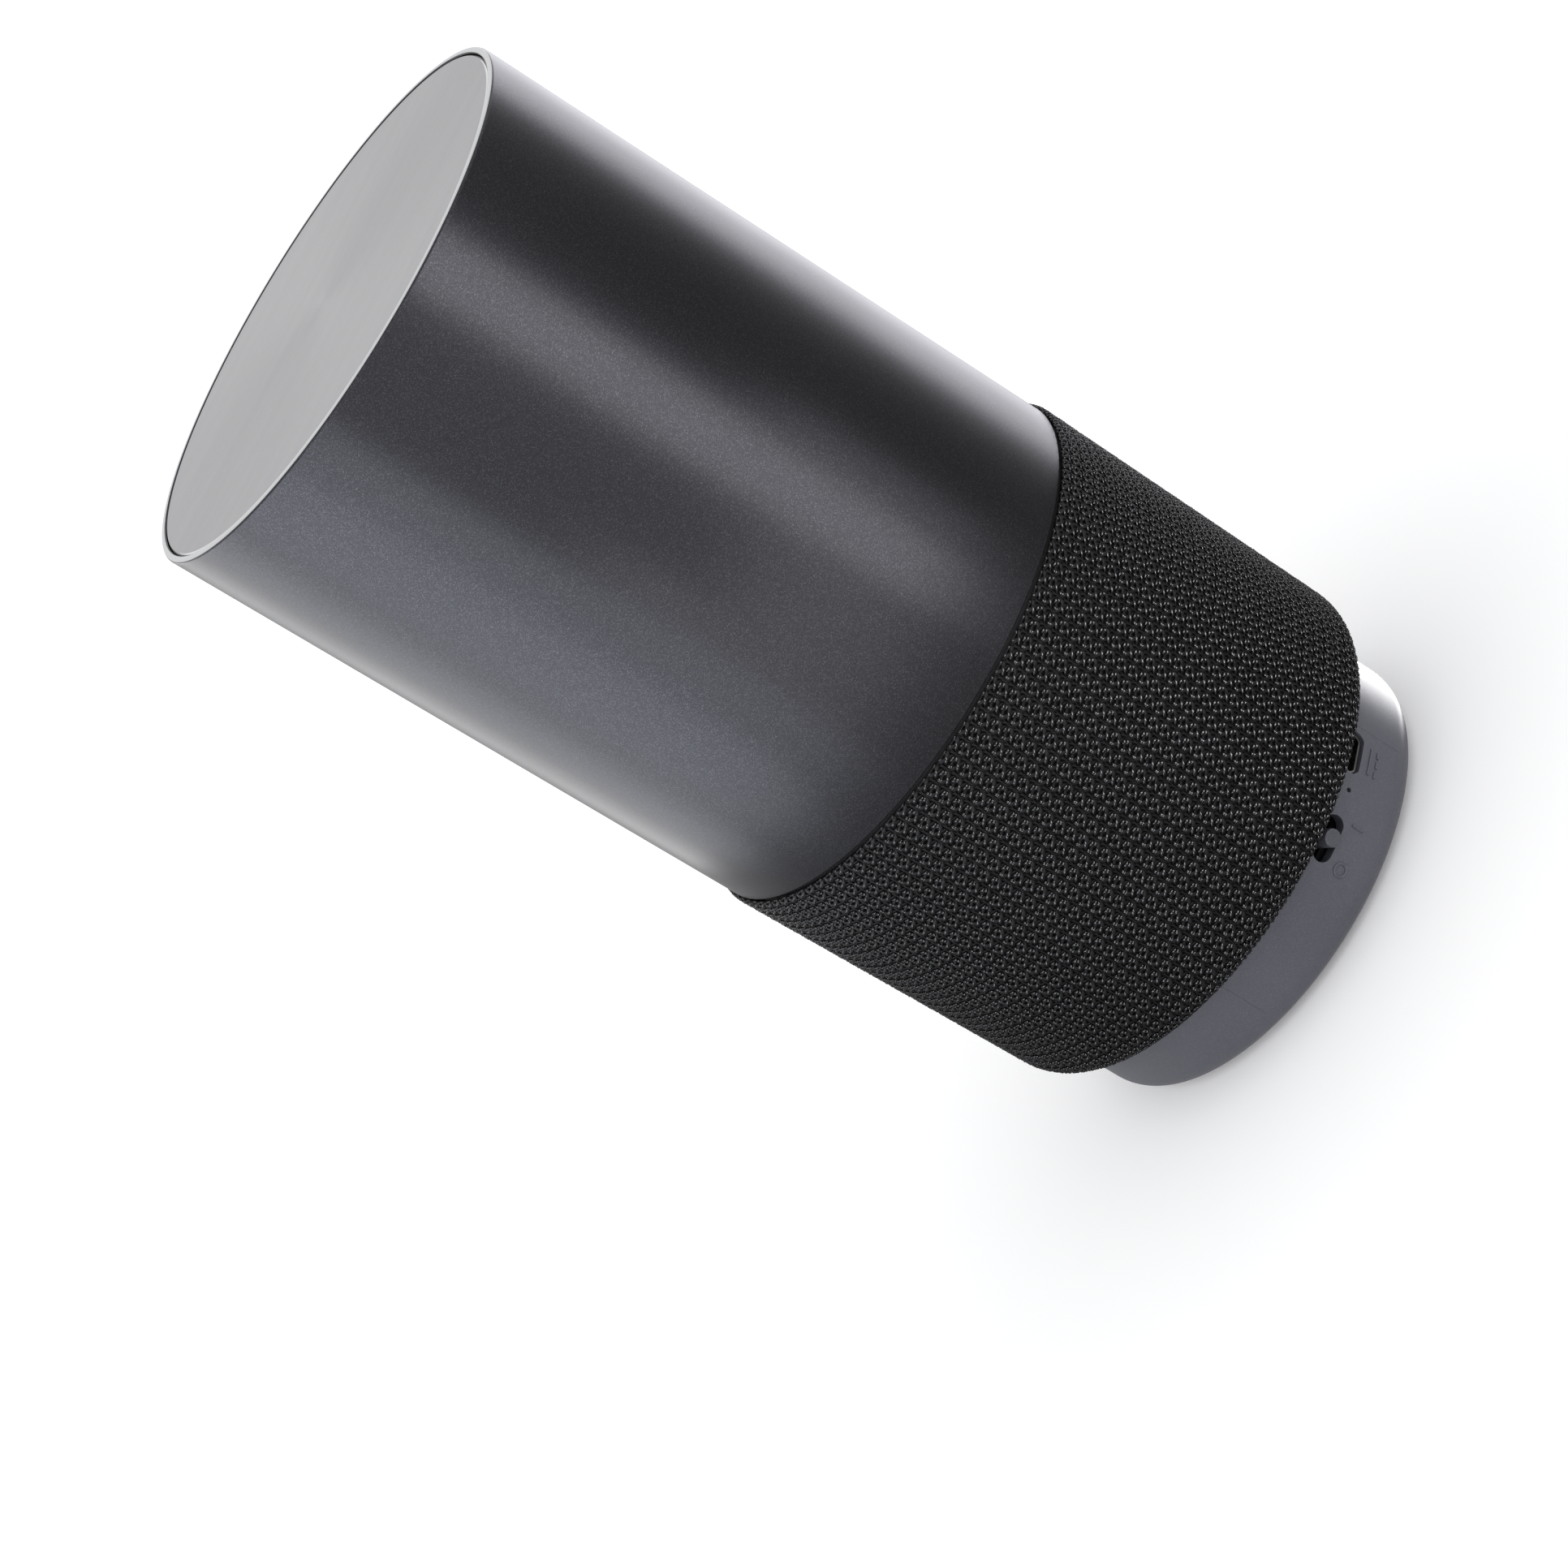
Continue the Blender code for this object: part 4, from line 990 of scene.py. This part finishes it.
def port_socket(looks):
    """The folded steel receptacle, the tongue in it and the tongue's five contacts."""
    steel = looks["port_steel"]
    middle, back_wall = SOCKET_MOUTH - SOCKET_DEPTH / 2, 0.4
    outside, hollow = port_outline(7.3, 2.5, 0.75), port_outline(6.7, 1.9, 0.6)
    place, bored = (on_side(PORT_ANGLE, middle + shift, PORT_Z) for shift in (0.0, back_wall))
    shell = prism("socket_shell", outside, SOCKET_DEPTH, place, steel)
    cut(shell, prism("socket_hollow", hollow, SOCKET_DEPTH, bored, steel))
    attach(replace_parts(shell, "micro_usb_shell"), "speaker_body")

    lift, pitch, above = 0.15, 0.65, 0.33
    place = on_side(PORT_ANGLE, middle, PORT_Z + lift)
    tongue = blocks("socket_tongue", looks["black_plastic"], [((4.0, 3.6, 0.6), place)], 0.08)
    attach(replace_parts(tongue, "micro_usb_tongue"), "speaker_body")
    shifts = [Matrix.Translation((0.0, pitch * i * MM, above * MM)) for i in range(-2, 3)]
    strips = [((3.3, 0.34, 0.08), place @ shift) for shift in shifts]
    contacts = blocks("socket_contacts", looks["contact_brass"], strips, 0.02)
    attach(contacts, "speaker_body")


def base_cover(look):
    """The bottom plate, with the foot's groove and four screw holes."""
    edge = 0.35
    groove_inner, groove_outer, groove_top = FOOT_INNER - GAP, FOOT_RADIUS + GAP, FOOT_TOP + GAP
    outline = [(0.0, PLATE_BOTTOM), (groove_inner, PLATE_BOTTOM), (groove_inner, groove_top)]
    outline += [(groove_outer, groove_top), (groove_outer, PLATE_BOTTOM)]
    outline += arc((PLATE_RADIUS - edge, PLATE_BOTTOM + edge), edge, -90.0, 0.0, 5)
    outline += [(PLATE_RADIUS, PLATE_TOP), (0.0, PLATE_TOP)]
    plate = lathe("base_cover", outline, [look], 256, closed=False)
    pocket, hole = HEAD_RADIUS + GAP, SHANK_RADIUS + 0.55
    seat = PLATE_BOTTOM + HEAD_HEIGHT + 0.2
    below, above = PLATE_BOTTOM - 1.0, PLATE_TOP + 1.0
    bore = [(0.0, below), (pocket, below), (pocket, seat), (hole, seat), (hole, above), (0.0, above)]
    for number in range(1, 5):
        drill = lathe("drill", bore, [look], 32, closed=False)
        centre = middle_of(f"bottom_screw_{number}")
        drill.location = (centre.x * MM, centre.y * MM, 0.0)
        cut(plate, drill)
    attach(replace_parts(plate, "bottom_plate"), "speaker_body")


def foot_ring(look):
    """The rubber ring, with rounded lips and three shallow grooves in its tread."""
    lip = 0.4
    wide, narrow, deep = 0.45, 0.2, 0.3
    outline = arc((FOOT_INNER + lip, lip), lip, 180.0, 270.0, 6)
    for middle in np.linspace(FOOT_INNER, FOOT_RADIUS, 5)[1:-1]:
        outline += [(middle - wide, 0.0), (middle - narrow, deep)]
        outline += [(middle + narrow, deep), (middle + wide, 0.0)]
    outline += arc((FOOT_RADIUS - lip, lip), lip, -90.0, 0.0, 6)
    outline += [(FOOT_RADIUS, FOOT_TOP), (FOOT_INNER, FOOT_TOP)]
    ring = lathe("foot_ring", outline, [look], 256)
    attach(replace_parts(ring, "rubber_foot"), "speaker_body")


def base(looks):
    look = base_plastic()
    base_housing(look)
    power_knob(base_plastic("knob_plastic", 0.84))
    panel_marks(look)
    mould_lines(look)
    port_socket(looks)
    base_cover(look)
    foot_ring(looks["foot_rubber"])


# ---- fasteners


def screw_mesh(name, length, look):
    """A pan head with a cross recess at the origin's lower side, and a threaded shank up from it."""
    pitch, root, round_over = 0.6, SHANK_RADIUS - 0.18, 0.45
    crown = arc((HEAD_RADIUS - round_over, round_over - HEAD_HEIGHT), round_over, -90.0, 0.0, 6)
    outline = [(0.0, -HEAD_HEIGHT)] + crown + [(HEAD_RADIUS, 0.0), (SHANK_RADIUS, 0.0)]
    for turn in range(int((length - 1.2) / pitch)):
        z = 0.5 + turn * pitch
        outline += [(root, z), (root, z + 0.15), (SHANK_RADIUS, z + 0.35)]
    outline += [(root, length - 0.6), (0.15, length), (0.0, length)]
    pattern = lathe(name, outline, [look], 32, closed=False)
    recess = Matrix.Translation((0.0, 0.0, -HEAD_HEIGHT * MM))
    arms = [((2.1, 0.42, 0.9), recess), ((0.42, 2.1, 0.9), recess)]
    cut(pattern, *(blocks(f"{name}_arm", look, [arm], 0.04) for arm in arms))
    return pattern


def screws(look):
    """Every screw node by its own box. Only the carrier's point down."""
    patterns = {}
    for node in sorted(NODES):
        if "_screw_" not in node:
            continue
        family = node.rsplit("_", 1)[0]
        low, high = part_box(node)
        length = round((high.z - low.z) / MM - HEAD_HEIGHT, 2)
        if family not in patterns:
            patterns[family] = screw_mesh(f"{family}_pattern", length, look)
        points_down = family == "carrier_screw"
        seat = high.z - HEAD_HEIGHT * MM if points_down else low.z + HEAD_HEIGHT * MM
        flip = Matrix.Rotation(pi, 4, "X") if points_down else Matrix()
        piece = in_scene(node.replace("screw", "fastener"), patterns[family].data)
        centre = (low + high) / 2
        piece.matrix_world = Matrix.Translation((centre.x, centre.y, seat)) @ flip
        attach(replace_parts(piece, node), "speaker_body")
    for pattern in patterns.values():
        bpy.data.objects.remove(pattern)


# ---- the driver's moving parts


def diaphragm(looks):
    """Cone and dust cap ride on the moving body. Surround and spider are left unattached, between it and
    the basket.
    """
    front, neck, edge = DRIVER_FRONT, 9.4, 22.4
    shares = np.linspace(0.0, 1.0, 40)
    ribs = 0.06 * np.sin(shares * 2 * pi * 5)
    line = [(neck + (edge - neck) * t, front + 8.3 - 6.9 * t**0.8 + rib) for t, rib in zip(shares, ribs)]
    cone = lathe("paper_cone", thickened(line, 0.5), [looks["cone_paper"]], 192)
    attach(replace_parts(cone, "speaker_cone"), "moving_cone")

    dome = [(9.9 * t, front + 4.2 + 2.9 * t**2) for t in np.linspace(0.0, 1.0, 24)]
    outline = dome + [(r, z + 0.5) for r, z in dome[::-1]]
    cap = lathe("cone_cap", outline, [looks["cone_paper"]], 192, closed=False)
    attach(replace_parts(cap, "dust_cap"), "moving_cone")

    lip = front - 0.55
    roll = [(28.6, lip), (27.2, lip), (25.9, lip)] + arc((24.3, lip), 1.6, -20.0, -160.0, 24)
    roll += [(22.6, lip + 0.2), (22.35, front + 0.2), (22.1, front + 0.75), (21.2, front + 1.15)]
    surround = lathe("rubber_surround", thickened(roll, 0.4), [looks["surround_rubber"]], 192)
    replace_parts(surround, "cone_surround")
    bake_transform(surround)

    level, rise, wave = front + 11.0, 0.9, 0.30
    waves = []
    for t in np.linspace(0.0, 1.0, 60):
        waves.append((9.2 + 9.0 * t, level + rise * (0.5 - t) + wave * sin(8 * pi * t)))
    spider = lathe("cloth_spider", thickened(waves, 0.35), [looks["spider_cloth"]], 144)
    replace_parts(spider, "cone_spider")
    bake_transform(spider)


def finish_nodes(looks):
    """A procedural finish on every CAD node that stays."""
    for node, slot in SLOT_OF.items():
        if slot in looks:
            for place in NODES[node].material_slots:
                place.material = looks[slot]


# ---- studio

WHITE = (1.0, 1.0, 1.0)
KNIT_LEVEL = 0.056


def studio_floor():
    """A white floor that gloss doesn't see."""
    look = Look("studio_floor")
    mottle = look.noise(3.0, 2.0)
    look.set(
        Base_Color=look.colours(mottle, (0.3, (0.90, 0.90, 0.905)), (0.7, (0.92, 0.92, 0.925))),
        Roughness=0.95,
        Specular_IOR_Level=0.1,
        Emission_Color=(*WHITE, 1.0),
        Emission_Strength=0.16,
    )
    reach = 12.0
    corners = [(x * reach, y * reach, 0.0) for x, y in ((-1, -1), (1, -1), (1, 1), (-1, 1))]
    floor = mesh_object("studio_floor", corners, [(0, 1, 2, 3)], [look.made])
    floor.visible_glossy = False


def studio_world():
    """White from the horizon up. Below it only gloss sees the world, and there it is dark grey."""
    world = bpy.data.worlds.new("studio")
    bpy.context.scene.world = world
    nodes = Nodes(world)
    direction = nodes.add("TexCoord").outputs["Generated"]
    height = nodes.add("SeparateXYZ", {"Vector": direction}).outputs["Z"]
    strength = nodes.between(height, 0.36, 1.1, -0.2, -0.06)
    background = nodes.tree.nodes["Background"]
    nodes.feed(background, {"Color": (0.99, 0.995, 1.0, 1.0), "Strength": strength})


def panel(name, start, end, radiance, low=KNIT_LEVEL, high=TOP * MM + 0.006, colour=WHITE):
    """A strip light that stands close round the speaker and shows in its gloss only.

    It fills the azimuths from start to end, in degrees about +Z from +X, and the heights from
    low to high, in metres.
    """
    distance = 0.10
    middle = radians((start + end) / 2)
    away = Vector((cos(middle), sin(middle), 0.0))
    lamp = bpy.data.lights.new(name, "AREA")
    lamp.shape = "RECTANGLE"
    lamp.size, lamp.size_y = 2 * distance * tan(radians(abs(end - start) / 2)), high - low
    lamp.color = colour
    lamp.energy = pi * radiance * lamp.size * lamp.size_y
    placed = in_scene(name, lamp)
    placed.location = away * distance + Vector((0.0, 0.0, (low + high) / 2))
    placed.rotation_mode = "QUATERNION"
    placed.rotation_quaternion = away.to_track_quat("Z", "Y")
    placed.visible_camera = False
    placed.visible_diffuse = False
    return placed


def glints(name, start, end, radiance, pieces, low=0.002, high=0.070, colour=WHITE):
    """A strip light that only these pieces see."""
    seen = bpy.data.collections.new(name)
    for piece in pieces:
        seen.objects.link(piece)
    strip = panel(name, start, end, radiance, low, high, colour)
    strip.light_linking.receiver_collection = seen


def strip_lights(yarns):
    """Most strips stay above the knit. Its loops and the base have strips of their own."""
    cool, lilac = (0.93, 0.96, 1.0), (0.945, 0.945, 1.0)
    loops = [piece for piece in yarns if "loops" in piece.name]
    panel("front_strip", -90.0, -69.0, 3.1)
    glints("front_glints", -92.0, -64.0, 60.0, loops)
    panel("front_fill", -134.0, -90.0, 0.6)
    panel("front_low", -122.0, -91.0, 0.9, high=0.096)
    panel("front_low_left", -138.0, -122.0, 0.9, high=0.118)
    panel("front_low_right", -68.0, -55.0, 1.1, high=0.104)
    panel("left_front", -154.0, -136.0, 2.1, colour=cool)
    glints("left_glints", -156.0, -132.0, 34.0, loops, colour=cool)
    panel("left_strip", -188.0, -155.0, 3.0, colour=cool)
    panel("left_side", -212.0, -189.0, 2.4, colour=cool)
    panel("left_back", -240.0, -213.0, 1.5)
    panel("right_front", -7.0, 12.0, 2.35, low=0.002, colour=lilac)
    panel("right_back", 13.0, 34.0, 1.95, low=0.002, colour=lilac)
    glints("base_glow", 2.0, 38.0, 9.0, [bpy.data.objects["base_shell"]], -0.060, 0.012)


def camera():
    a, e, roll = (radians(x) for x in (-CAMERA_AZIMUTH, CAMERA_ELEVATION, CAMERA_ROLL))
    forward = Vector((cos(e) * sin(a), cos(e) * cos(a), -sin(e)))
    level_right = Vector((cos(a), -sin(a), 0.0))
    level_up = level_right.cross(forward)
    up = level_up * cos(roll) + level_right * sin(roll)
    right = level_right * cos(roll) - level_up * sin(roll)
    lens = bpy.data.cameras.new("camera")
    lens.lens = CAMERA_LENS
    lens.sensor_width = 36.0
    lens.clip_start, lens.clip_end = 0.01, 100.0
    placed = in_scene("camera", lens)
    turned = Matrix((right, up, -forward)).transposed().to_4x4()
    placed.matrix_world = Matrix.Translation(CAMERA_AIM - forward * CAMERA_DISTANCE) @ turned
    bpy.context.scene.camera = placed


upper_shell()
top_disc()
yarns = fabric_sleeve()
looks = {name: make(name, *values) for name, (make, *values) in INNER_LOOKS.items()}
flange_band(looks["black_plastic"])
base(looks)
screws(looks["screw_steel"])
diaphragm(looks)
finish_nodes(looks)
studio_floor()
studio_world()
strip_lights(yarns)
camera()

bpy.context.scene.view_settings.view_transform = "Standard"
